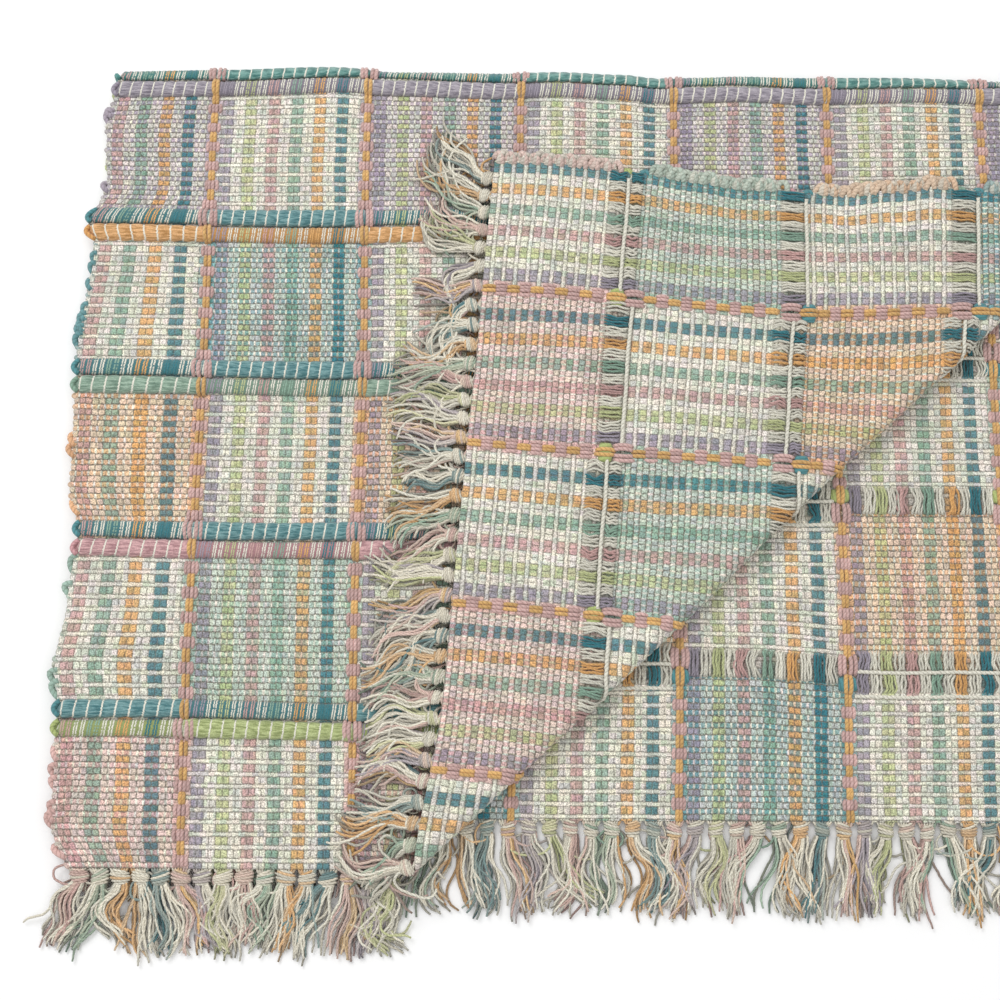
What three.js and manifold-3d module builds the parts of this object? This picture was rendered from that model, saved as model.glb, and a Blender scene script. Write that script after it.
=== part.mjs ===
// Woven cotton accent rug, folded once across its length, with one corner turned back on top.
// Millimetres, +Z up. X runs across the rug, Y from the knotted fringes towards the fold.
// The origin lies in the middle of the footprint, on the surface that the rug rests on.

import * as THREE from 'three';
import { mergeVertices } from 'three/addons/utils/BufferGeometryUtils.js';
import Module from 'manifold-3d';

const wasm = await Module();
wasm.setup();

// The flat cloth: u runs across it from the left selvedge, v from the end that lies on top
const CLOTH_WIDTH = 610;
const CLOTH_LENGTH = 914;
const GROUND_THICKNESS = 4;
const GAP = 0.3;

// The fold: v and y where the top layer begins to bend, and the bend's middle radius
const FOLD_V = 468.5;
const FOLD_Y = 256;
const FOLD_RADIUS = 2.5;
const FOLD_ARC = Math.PI * FOLD_RADIUS;
const LOWER_HEIGHT = GROUND_THICKNESS / 2;
const UPPER_HEIGHT = LOWER_HEIGHT + 2 * FOLD_RADIUS;

// The turned corner: where its crease leaves the fringe edge, the crease's angle and radius
const TURN_U = 181;
const TURN_ANGLE = THREE.MathUtils.degToRad(42.65);
const TURN_RADIUS = 4.5;
const TURN_ARC = Math.PI * TURN_RADIUS;
const TURN_SAG = 0.7;
const TURN_SAG_WITHIN = 60;

// The lower layer has slipped sideways, and the upper one dips past the lower one's end
const LOWER_SLIP = 4;
const UPPER_DIP = { from: -190, over: 22, depth: 1.8 };
const WAVE = { height: 0.6, across: 210, along: 170, fade: 60 };

// The weave's raised cross ribs, each a pair of thick rows
const RIB_CENTRES = [84.5, 186.5, 283, 377.5, 466.5, 559, 647, 735, 823];
const RIB_HALF_WIDTH = 10;
const RIB_ROW_OFFSET = 5.5;
const RIB_HEIGHT = 3;
const RIB_VALLEY = 1.2;
const RIB_PRESSED = 0.15;
const RIB_FADE = 12;
const RIB_BACK_SHARE = 0.17;

// How far each selvedge bulges out of the nominal width, by v on the top layer
const LEFT_BULGES = [
  { v: 0, out: -2 },
  { v: 29, out: 8 },
  { v: 94, out: 9 },
  { v: 114, out: 12 },
  { v: 151, out: 7 },
  { v: 191, out: 4 },
  { v: 220, out: 10 },
  { v: 296, out: 11 },
  { v: 364, out: 5 },
  { v: 377, out: 10 },
  { v: 402, out: 0 },
  { v: 438, out: 2 },
  { v: 472, out: -2 },
  { v: 560, out: -1 },
  { v: 914, out: -4 },
];
const RIGHT_BULGES = [
  { v: 0, out: 2 },
  { v: 47, out: 4 },
  { v: 131, out: -1 },
  { v: 187, out: -8 },
  { v: 200, out: -2 },
  { v: 277, out: 8 },
  { v: 330, out: 5 },
  { v: 388, out: 2 },
  { v: 472, out: 0 },
  { v: 560, out: -3 },
  { v: 735, out: 1 },
  { v: 914, out: -3 },
];
const BULGE_REACH = 75;

// Grid lines of the cloth's faces
const CHAIN_FIRST = 63;
const CHAIN_PITCH = 93;
const CHAIN_COUNT = 6;
const BAND_LINES = 2;
const TURN_STEPS = 4;
const FOLD_STEPS = 4;

// Fringe: knots along an edge, each with a few locks of yarn
const KNOT_PITCH = 11.5;
const KNOT_WIDTH = 9;
const KNOT_LENGTH = 7.5;
const KNOT_HEIGHT = 4.4;
const LINK_LENGTH = 2.6;
const LINK_HEIGHT = 2.4;
const YARN_CLEARANCE = 0.6;
const TURNED_KNOT_RISE = 5.8;
const UPPER_FRINGE = { height: 2.9, dropFrom: -229, dropOver: 8 };
const COVERED_U = 200;
const KNOT_FULL_HALF = 2.5;
const ROOT_RISE = 0.2;
const LOCK_HEIGHT = 2.2;
const LOCK_ROOT = 2;
const LOCK_WIDEST = 7;
const LOCK_WIDTH_SHARE = 0.66;
const LOCK_SPREAD_BY = 0.34;
const LOCK_RESTS_BY = 0.25;
const LOCK_TIP_SHARE = 0.45;
const LOCK_TIP_HEIGHT = 0.8;
const LOCK_UNEVEN = 0.06;

const smooth = (t) => THREE.MathUtils.smoothstep(t, 0, 1);
const turnAcross = new THREE.Vector2(Math.sin(TURN_ANGLE), -Math.cos(TURN_ANGLE));
const turnStart = new THREE.Vector2(TURN_U - CLOTH_WIDTH / 2, FOLD_Y - FOLD_V);

// Reads a table of rows by v, with a soft run from each row to the next
function tableValue(rows, v) {
  const next = rows.findIndex((row) => row.v >= v);
  if (next <= 0) return next === 0 ? rows[0].out : rows[rows.length - 1].out;
  const before = rows[next - 1];
  const after = rows[next];
  const share = smooth((v - before.v) / (after.v - before.v));
  return THREE.MathUtils.lerp(before.out, after.out, share);
}

// Plan x of a point of the cloth, with the selvedges' bulges fading out inwards
function planX(u, v) {
  const left = tableValue(LEFT_BULGES, v) * (1 - smooth(u / BULGE_REACH));
  const right = tableValue(RIGHT_BULGES, v) * (1 - smooth((CLOTH_WIDTH - u) / BULGE_REACH));
  return u - CLOTH_WIDTH / 2 - left + right;
}

// Height of the upper layer's middle surface over the plan
function upperHeight(x, y) {
  const calm = smooth((FOLD_Y - y) / WAVE.fade);
  const wave = Math.sin((2 * Math.PI * x) / WAVE.across) * Math.sin((2 * Math.PI * y) / WAVE.along);
  const level = 1 - smooth((UPPER_DIP.from - y) / UPPER_DIP.over);
  const rise = WAVE.height * calm * level * (0.5 + 0.5 * wave);
  return UPPER_HEIGHT + rise - UPPER_DIP.depth * (1 - level);
}

// How far a point of the upper layer lies past the crease of the turned corner
function pastCrease(u, v) {
  const offset = new THREE.Vector2(planX(u, v), FOLD_Y - FOLD_V + v).sub(turnStart);
  return offset.dot(turnAcross);
}

// The cloth's middle surface: a flat point (u, v) as it lies in the folded rug
function middle(u, v) {
  const x = planX(u, v);
  if (v > FOLD_V + FOLD_ARC) {
    const along = v - FOLD_V - FOLD_ARC;
    const slip = (LOWER_SLIP * along) / (CLOTH_LENGTH - FOLD_V - FOLD_ARC);
    return new THREE.Vector3(x - slip, FOLD_Y - along, LOWER_HEIGHT);
  }
  if (v > FOLD_V) {
    const angle = (v - FOLD_V) / FOLD_RADIUS;
    const centre = LOWER_HEIGHT + FOLD_RADIUS;
    return new THREE.Vector3(
      x,
      FOLD_Y + FOLD_RADIUS * Math.sin(angle),
      centre + FOLD_RADIUS * Math.cos(angle),
    );
  }
  const plan = new THREE.Vector2(x, FOLD_Y - FOLD_V + v);
  const past = pastCrease(u, v);
  if (past <= 0) return new THREE.Vector3(plan.x, plan.y, upperHeight(plan.x, plan.y));
  const foot = plan.clone().addScaledVector(turnAcross, -past);
  if (past < TURN_ARC) {
    const angle = past / TURN_RADIUS;
    const lying = foot.clone().addScaledVector(turnAcross, TURN_RADIUS * Math.sin(angle));
    const height = upperHeight(foot.x, foot.y) + TURN_RADIUS * (1 - Math.cos(angle));
    return new THREE.Vector3(lying.x, lying.y, height);
  }
  const back = past - TURN_ARC;
  const lying = foot.clone().addScaledVector(turnAcross, -back);
  const away = smooth(back / TURN_SAG_WITHIN);
  const base = upperHeight(lying.x, Math.max(lying.y, UPPER_DIP.from));
  const height = THREE.MathUtils.lerp(upperHeight(foot.x, foot.y), base, away);
  return new THREE.Vector3(lying.x, lying.y, height + 2 * TURN_RADIUS - TURN_SAG * away);
}

// Which way the face side looks at a flat point
function faceNormal(u, v) {
  const step = 0.25;
  const low = Math.max(v - step, 0);
  const high = Math.min(v + step, CLOTH_LENGTH);
  const across = middle(Math.min(u + step, CLOTH_WIDTH), v).sub(middle(Math.max(u - step, 0), v));
  const along = middle(u, high).sub(middle(u, low));
  return across.cross(along).normalize();
}

// Height of the ribs over the ground weave at v: two humps with a valley between
function ribProfile(v) {
  const near = RIB_CENTRES.find((centre) => Math.abs(v - centre) < RIB_HALF_WIDTH);
  if (near === undefined) return 0;
  const off = Math.abs(v - near);
  if (off < RIB_ROW_OFFSET) {
    return THREE.MathUtils.lerp(RIB_VALLEY, RIB_HEIGHT, off / RIB_ROW_OFFSET);
  }
  return RIB_HEIGHT * (1 - (off - RIB_ROW_OFFSET) / (RIB_HALF_WIDTH - RIB_ROW_OFFSET));
}

// Ribs stand proud where the face side shows, and lie pressed in and behind the crease
function faceRelief(u, v) {
  if (v > FOLD_V + FOLD_ARC) return 0;
  const hidden = smooth((pastCrease(u, v) + RIB_FADE) / RIB_FADE);
  return ribProfile(v) * THREE.MathUtils.lerp(1, RIB_PRESSED, hidden);
}

function backRelief(v) {
  if (v < FOLD_V + FOLD_ARC + RIB_HALF_WIDTH) return 0;
  return ribProfile(v) * RIB_BACK_SHARE;
}

function facePoint(u, v) {
  const reach = GROUND_THICKNESS / 2 + faceRelief(u, v);
  const point = middle(u, v).addScaledVector(faceNormal(u, v), reach);
  point.z = Math.max(point.z, 0);
  return point;
}

function backPoint(u, v) {
  const reach = GROUND_THICKNESS / 2 + backRelief(v);
  return middle(u, v).addScaledVector(faceNormal(u, v), -reach);
}

// The straight lines that cut the flat cloth into the cells of its faces
function gridLines() {
  const lines = [];
  const addAcross = (u) => lines.push({ a: 1, b: 0, c: u });
  const addAlong = (v) => lines.push({ a: 0, b: 1, c: v });
  for (let chain = 0; chain < CHAIN_COUNT; chain += 1) {
    const u = CHAIN_FIRST + CHAIN_PITCH * chain;
    addAcross(u);
    addAcross(chain === 0 ? u / 2 : u - CHAIN_PITCH / 2);
  }
  addAcross((CHAIN_FIRST + CHAIN_PITCH * (CHAIN_COUNT - 1) + CLOTH_WIDTH) / 2);
  const ends = [0, ...RIB_CENTRES, CLOTH_LENGTH];
  for (const [index, centre] of RIB_CENTRES.entries()) {
    const proud = centre < FOLD_V;
    const humps = proud ? [-RIB_ROW_OFFSET, RIB_ROW_OFFSET] : [];
    for (const off of [-RIB_HALF_WIDTH, 0, ...humps]) addAlong(centre + off);
    if (centre + RIB_HALF_WIDTH < FOLD_V || !proud) addAlong(centre + RIB_HALF_WIDTH);
    const start = ends[index] + (index > 0 ? RIB_HALF_WIDTH : 0);
    const span = centre - RIB_HALF_WIDTH - start;
    for (let part = 1; part <= BAND_LINES; part += 1) {
      if (proud) addAlong(start + (span * part) / (BAND_LINES + 1));
    }
  }
  for (let step = 0; step <= FOLD_STEPS; step += 1) addAlong(FOLD_V + (FOLD_ARC * step) / FOLD_STEPS);
  for (let step = 0; step <= TURN_STEPS; step += 1) {
    const off = (TURN_ARC * step) / TURN_STEPS;
    lines.push({ a: turnAcross.x, b: turnAcross.y, c: turnAcross.x * TURN_U + off });
  }
  lines.push({ a: turnAcross.x, b: turnAcross.y, c: turnAcross.x * TURN_U - RIB_FADE });
  lines.push({ a: turnAcross.x, b: turnAcross.y, c: turnAcross.x * TURN_U + TURN_ARC + TURN_SAG_WITHIN / 2 });
  return lines;
}

// Splits one convex cell by a line, into one or two cells
function splitCell(cell, line) {
  const touch = 1e-6;
  const sides = cell.map(([u, v]) => line.a * u + line.b * v - line.c);
  if (sides.every((side) => side < touch) || sides.every((side) => side > -touch)) return [cell];
  const low = [];
  const high = [];
  cell.forEach((corner, index) => {
    const next = (index + 1) % cell.length;
    if (sides[index] < touch) low.push(corner);
    if (sides[index] > -touch) high.push(corner);
    if (Math.abs(sides[index]) < touch || Math.abs(sides[next]) < touch) return;
    if (sides[index] * sides[next] > 0) return;
    const share = sides[index] / (sides[index] - sides[next]);
    const crossing = corner.map((value, axis) => value + (cell[next][axis] - value) * share);
    low.push(crossing);
    high.push(crossing);
  });
  return [low, high];
}

// Makes a geometry from points and triangles of point numbers
function solidFrom(points, triangles) {
  const geometry = new THREE.BufferGeometry();
  const flat = points.flatMap((point) => point.toArray());
  geometry.setAttribute('position', new THREE.Float32BufferAttribute(flat, 3));
  geometry.setIndex(triangles.flat());
  return geometry;
}

// The whole cloth as one sheet: its two faces, and a rim where a cell has no neighbour
function clothGeometry() {
  let cells = [[[0, 0], [CLOTH_WIDTH, 0], [CLOTH_WIDTH, CLOTH_LENGTH], [0, CLOTH_LENGTH]]];
  for (const line of gridLines()) cells = cells.flatMap((cell) => splitCell(cell, line));
  const numbers = new Map();
  const corners = [];
  const numberOf = ([u, v]) => {
    const key = `${u.toFixed(3)},${v.toFixed(3)}`;
    if (!numbers.has(key)) numbers.set(key, corners.push([u, v]) - 1);
    return numbers.get(key);
  };
  const withoutRepeats = (cell) => cell.filter((n, i) => n !== cell[(i + 1) % cell.length]);
  const faces = cells.map((cell) => withoutRepeats(cell.map(numberOf)));
  const count = corners.length;
  const points = [
    ...corners.map(([u, v]) => facePoint(u, v)),
    ...corners.map(([u, v]) => backPoint(u, v)),
  ];
  const edges = new Set(faces.flatMap((cell) => cell.map((n, i) => `${n},${cell[(i + 1) % cell.length]}`)));
  const triangles = [];
  for (const cell of faces) {
    for (let i = 1; i + 1 < cell.length; i += 1) {
      triangles.push([cell[0], cell[i], cell[i + 1]]);
      triangles.push([cell[0] + count, cell[i + 1] + count, cell[i] + count]);
    }
  }
  for (const edge of edges) {
    const [from, to] = edge.split(',').map(Number);
    if (edges.has(`${to},${from}`)) continue;
    triangles.push([from, from + count, to + count], [from, to + count, to]);
  }
  return solidFrom(points, triangles);
}

// A closed loft through rings that all have the same number of points
function loftGeometry(rings) {
  const sides = rings[0].length;
  const triangles = [];
  for (let ring = 0; ring + 1 < rings.length; ring += 1) {
    for (let side = 0; side < sides; side += 1) {
      const next = (side + 1) % sides;
      const [a, b] = [ring * sides + side, ring * sides + next];
      triangles.push([a, b, b + sides], [a, b + sides, a + sides]);
    }
  }
  const last = (rings.length - 1) * sides;
  for (let side = 1; side + 1 < sides; side += 1) {
    triangles.push([0, side + 1, side], [last, last + side, last + side + 1]);
  }
  return solidFrom(rings.flat(), triangles);
}

// Six times the volume that the faces enclose, negative where they look inwards
function signedVolume(geometry) {
  const corner = (n) => new THREE.Vector3().fromBufferAttribute(geometry.attributes.position, n);
  const index = geometry.index.array;
  let sum = 0;
  for (let i = 0; i < index.length; i += 3) {
    sum += corner(index[i]).dot(corner(index[i + 1]).cross(corner(index[i + 2])));
  }
  return sum;
}

// A geometry as a solid for joining, with its faces turned outwards
function toManifold(geometry) {
  const merged = mergeVertices(geometry, 1e-4);
  if (signedVolume(merged) < 0) merged.index.array.reverse();
  return new wasm.Manifold(new wasm.Mesh({
    numProp: 3,
    vertProperties: new Float32Array(merged.attributes.position.array),
    triVerts: new Uint32Array(merged.index.array),
  }));
}

function toGeometry(solid) {
  const mesh = solid.getMesh();
  const geometry = new THREE.BufferGeometry();
  geometry.setAttribute('position', new THREE.BufferAttribute(new Float32Array(mesh.vertProperties), 3));
  geometry.setIndex(new THREE.BufferAttribute(new Uint32Array(mesh.triVerts), 1));
  return geometry;
}

// Where yarn rests on the upper layer: on the ground weave, or over a rib's back
function upperRest(x, y) {
  const v = y - FOLD_Y + FOLD_V;
  const off = Math.min(...RIB_CENTRES.map((centre) => Math.abs(v - centre)));
  const over = 1 - smooth((off - RIB_HALF_WIDTH - 1) / RIB_HALF_WIDTH);
  return upperHeight(x, y) + GROUND_THICKNESS / 2 + YARN_CLEARANCE + RIB_HEIGHT * over;
}

// The three fringes, one for each stretch of the two ends. Each has its edge at v, its run of
// knots from firstU to lastU, its locks a knot, and how they lie: the shares of their length at
// which they bend, their length and lean by u, and the heights that knots and locks rest on
const FRINGES = [
  {
    name: 'fringe_lower',
    colour: 0xd9b9a4,
    v: CLOTH_LENGTH,
    firstU: 6,
    lastU: 604,
    locks: (u) => (u < COVERED_U ? 1 : 2),
    bends: [0, 0.3, 1],
    length: (u) => (u < COVERED_U ? 34 : 45),
    lean: (u) => 4 * Math.sin(u / 37),
    knotBase: () => 0,
    rest: () => 0,
  },
  {
    name: 'fringe_upper',
    colour: 0xcfc3ae,
    v: 0,
    firstU: 6,
    lastU: 185,
    locks: () => 3,
    bends: [0, 0.4, 0.62, 1],
    length: () => 39,
    lean: (u) => 5 + 4 * Math.sin(u / 29),
    knotBase: () => UPPER_FRINGE.height,
    rest: (x, y) => UPPER_FRINGE.height * (1 - smooth((UPPER_FRINGE.dropFrom - y) / UPPER_FRINGE.dropOver)),
  },
  {
    name: 'fringe_turned',
    colour: 0xc9c7a8,
    v: 0,
    firstU: 208,
    lastU: 604,
    locks: () => 2,
    bends: [0, 0.3, 0.65, 1],
    length: (u) => 42 + 4 * Math.sin(u / 23),
    lean: (u) => -16 - 8 * Math.sin(u / 41),
    knotBase: (x, y) => upperHeight(x, Math.max(y, UPPER_DIP.from)) + TURNED_KNOT_RISE,
    rest: upperRest,
  },
];

// A knot's section across the edge: how far out of the cloth, and up its height, as shares
const KNOT_SECTION = [
  { out: 0, up: 0 },
  { out: 0.85, up: 0 },
  { out: 1, up: 0.5 },
  { out: 0.6, up: 1 },
  { out: 0, up: 0.8 },
];

// The edge at u: its point, and the way out of the cloth in plan
function edgeFrame(fringe, u) {
  const inward = fringe.v === 0 ? 1 : -1;
  const point = middle(u, fringe.v);
  const out = point.clone().sub(middle(u, fringe.v + inward)).setZ(0).normalize();
  return { point, out };
}

// One ring of the knotted strip, standing on the knots' base height
function stripRing(fringe, u, length, height) {
  const { point, out } = edgeFrame(fringe, u);
  const base = fringe.knotBase(point.x, point.y) + (KNOT_HEIGHT - height) * ROOT_RISE;
  return KNOT_SECTION.map((corner) => {
    const at = point.clone().addScaledVector(out, GAP + corner.out * length);
    return at.setZ(base + corner.up * height);
  });
}

// Where the knots of a fringe lie along its edge
function knotPlaces(fringe) {
  const count = Math.floor((fringe.lastU - fringe.firstU) / KNOT_PITCH) + 1;
  return Array.from({ length: count }, (_, knot) => fringe.firstU + knot * KNOT_PITCH);
}

// The strip of knots: thick across each knot, thin between two
function stripGeometry(fringe) {
  const rings = [];
  for (const u of knotPlaces(fringe)) {
    if (rings.length > 0) rings.push(stripRing(fringe, u - KNOT_PITCH / 2, LINK_LENGTH, LINK_HEIGHT));
    rings.push(stripRing(fringe, u - KNOT_FULL_HALF, KNOT_LENGTH, KNOT_HEIGHT));
    rings.push(stripRing(fringe, u + KNOT_FULL_HALF, KNOT_LENGTH, KNOT_HEIGHT));
  }
  return loftGeometry(rings);
}

// One lock: three-sided, rooted in its knot, down to its rest and tapering to its tip
function lockGeometry(fringe, u, side) {
  const { point, out } = edgeFrame(fringe, u);
  const locks = fringe.locks(u);
  const spread = (side / locks) * KNOT_PITCH;
  const lean = THREE.MathUtils.degToRad(fringe.lean(u + spread));
  const up = new THREE.Vector3(0, 0, 1);
  const across = out.clone().applyAxisAngle(up, Math.PI / 2);
  const along = out.clone().applyAxisAngle(up, lean);
  const wide = Math.min(KNOT_PITCH / locks, LOCK_WIDEST) * LOCK_WIDTH_SHARE;
  const rootSpread = (spread * (KNOT_WIDTH - wide)) / KNOT_PITCH;
  const length = fringe.length(u) * (1 - LOCK_UNEVEN * Math.cos(u * 1.7 + side * 2.1));
  const knotBase = fringe.knotBase(point.x, point.y) + KNOT_HEIGHT * ROOT_RISE;
  const rings = fringe.bends.map((share) => {
    const at = point.clone()
      .addScaledVector(out, GAP + KNOT_LENGTH - LOCK_ROOT)
      .addScaledVector(across, THREE.MathUtils.lerp(rootSpread, spread, smooth(share / LOCK_SPREAD_BY)))
      .addScaledVector(along, share * (length + LOCK_ROOT));
    const rest = fringe.rest(at.x, at.y);
    const bottom = share < LOCK_RESTS_BY ? Math.max(knotBase, rest) : rest;
    const half = (wide / 2) * THREE.MathUtils.lerp(1, LOCK_TIP_SHARE, share * share);
    const top = bottom + LOCK_HEIGHT * THREE.MathUtils.lerp(1, LOCK_TIP_HEIGHT, share);
    return [
      at.clone().addScaledVector(across, -half).setZ(bottom),
      at.clone().addScaledVector(across, half).setZ(bottom),
      at.clone().setZ(top),
    ];
  });
  return loftGeometry(rings);
}

// A whole fringe: the strip with every lock joined to it
function fringeGeometry(fringe) {
  let solid = toManifold(stripGeometry(fringe));
  for (const u of knotPlaces(fringe)) {
    const locks = fringe.locks(u);
    for (let lock = 0; lock < locks; lock += 1) {
      solid = solid.add(toManifold(lockGeometry(fringe, u, lock - (locks - 1) / 2)));
    }
  }
  return toGeometry(solid);
}

const rug = new THREE.Group();

function addPiece(name, geometry, colour) {
  const material = new THREE.MeshStandardMaterial({ color: colour, roughness: 0.95, metalness: 0 });
  const mesh = new THREE.Mesh(geometry, material);
  mesh.name = name;
  rug.add(mesh);
}

addPiece('rug_cloth', clothGeometry(), 0xe6dfcf);
for (const fringe of FRINGES) addPiece(fringe.name, fringeGeometry(fringe), fringe.colour);

// The origin goes to the middle of the footprint
const footprint = new THREE.Box3().setFromObject(rug).getCenter(new THREE.Vector3());
rug.position.set(-footprint.x, -footprint.y, 0);

export default rug;
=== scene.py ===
"""Looks of the woven cotton accent rug: folded once, with one corner turned back on top.

Places are worked out on the flat cloth in millimetres: u runs across it from the left selvedge,
and v along it from the end that lies on top. RugFold lays flat places out as the rug lies.
"""

import logging
import math
from dataclasses import dataclass, field
from enum import Enum

import bpy
import numpy as np
from mathutils import Matrix, Vector


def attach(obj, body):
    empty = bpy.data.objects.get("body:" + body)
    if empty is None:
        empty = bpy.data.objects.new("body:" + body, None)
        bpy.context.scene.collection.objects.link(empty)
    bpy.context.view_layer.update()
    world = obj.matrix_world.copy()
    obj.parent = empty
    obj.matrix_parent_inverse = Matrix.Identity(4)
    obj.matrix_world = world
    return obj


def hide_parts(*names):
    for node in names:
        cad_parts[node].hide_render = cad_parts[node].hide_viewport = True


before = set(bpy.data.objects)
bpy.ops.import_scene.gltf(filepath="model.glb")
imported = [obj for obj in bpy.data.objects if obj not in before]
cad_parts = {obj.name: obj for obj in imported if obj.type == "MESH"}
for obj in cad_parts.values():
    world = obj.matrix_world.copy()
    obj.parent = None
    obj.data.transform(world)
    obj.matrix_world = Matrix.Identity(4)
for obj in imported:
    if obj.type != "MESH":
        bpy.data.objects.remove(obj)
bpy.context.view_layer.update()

LOG = logging.getLogger("accent_rug")
Array = np.ndarray
Chance = np.random.Generator
Socket = bpy.types.NodeSocket
MM = 0.001
TURN = 2.0 * math.pi
UP = (0.0, 0.0, 1.0)


def smooth(share: Array) -> Array:
    """Soft step from 0 to 1 as share runs from 0 to 1."""
    t = np.clip(share, 0.0, 1.0)
    return t * t * (3.0 - 2.0 * t)


def hump(share: Array, power: float = 2.0) -> Array:
    """Rises from 0 to 1 and back to 0 as share runs from 0 to 1."""
    return 1.0 - np.abs(2.0 * np.clip(share, 0.0, 1.0) - 1.0) ** power


def alternate(count: int) -> Array:
    """The numbers 1 and -1 in turn."""
    return np.where(np.arange(count) % 2 == 0, 1.0, -1.0)


class Dye(Enum):
    """The cottons in the rug, the painted shade colour and the floor, as red, green and blue of 255."""

    CREAM = (220, 217, 203)
    # Painted shade: the colour that gaps between beads and rows, and the back under free warps, are
    # darkened towards.
    SHADOW = (112, 105, 92)
    LAVENDER = (154, 146, 158)
    LIME = (186, 192, 142)
    PINK = (195, 158, 153)
    SAGE = (137, 168, 149)
    ORANGE = (215, 165, 103)
    TEAL = (50, 117, 127)
    WEFT_PINK = (215, 172, 166)
    WEFT_SAGE = (150, 181, 167)
    WEFT_PEACH = (222, 168, 122)
    WEFT_TEAL = (84, 146, 153)
    WEFT_LAVENDER = (162, 150, 166)
    WEFT_LIME = (186, 196, 140)
    CHAIN_PINK = (204, 170, 165)
    CHAIN_ORANGE = (213, 170, 108)
    RIB_TEAL = (84, 143, 149)
    RIB_SEA = (84, 148, 142)
    RIB_SAGE = (138, 170, 150)
    RIB_PINK = (204, 154, 158)
    RIB_LIME = (176, 190, 122)
    RIB_ORANGE = (222, 164, 98)
    RIB_LAVENDER = (157, 149, 163)
    FRINGE = (230, 219, 197)
    FLOOR = (247, 247, 247)

    @property
    def rgb(self) -> Array:
        """The dye as linear light."""
        share = np.array(self.value) / 255.0
        return np.where(share <= 0.04045, share / 12.92, ((share + 0.055) / 1.055) ** 2.4)

    @property
    def rgba(self) -> tuple[float, ...]:
        """The dye as linear light, opaque."""
        return (*self.rgb.tolist(), 1.0)


class Side(Enum):
    """The two sides of the cloth, by the way that they face along its normal."""

    FACE = 1.0
    BACK = -1.0


@dataclass(frozen=True)
class Bulge:
    """How far an edge stands out of its straight line at a place along it."""

    at: float
    out: float


@dataclass(frozen=True)
class Ramp:
    """A soft step up to a size, from a start over a stretch."""

    start: float
    over: float
    size: float = 1.0

    def at(self, place: Array) -> Array:
        """How high the step is at a place."""
        return self.size * smooth((place - self.start) / self.over)


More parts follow.
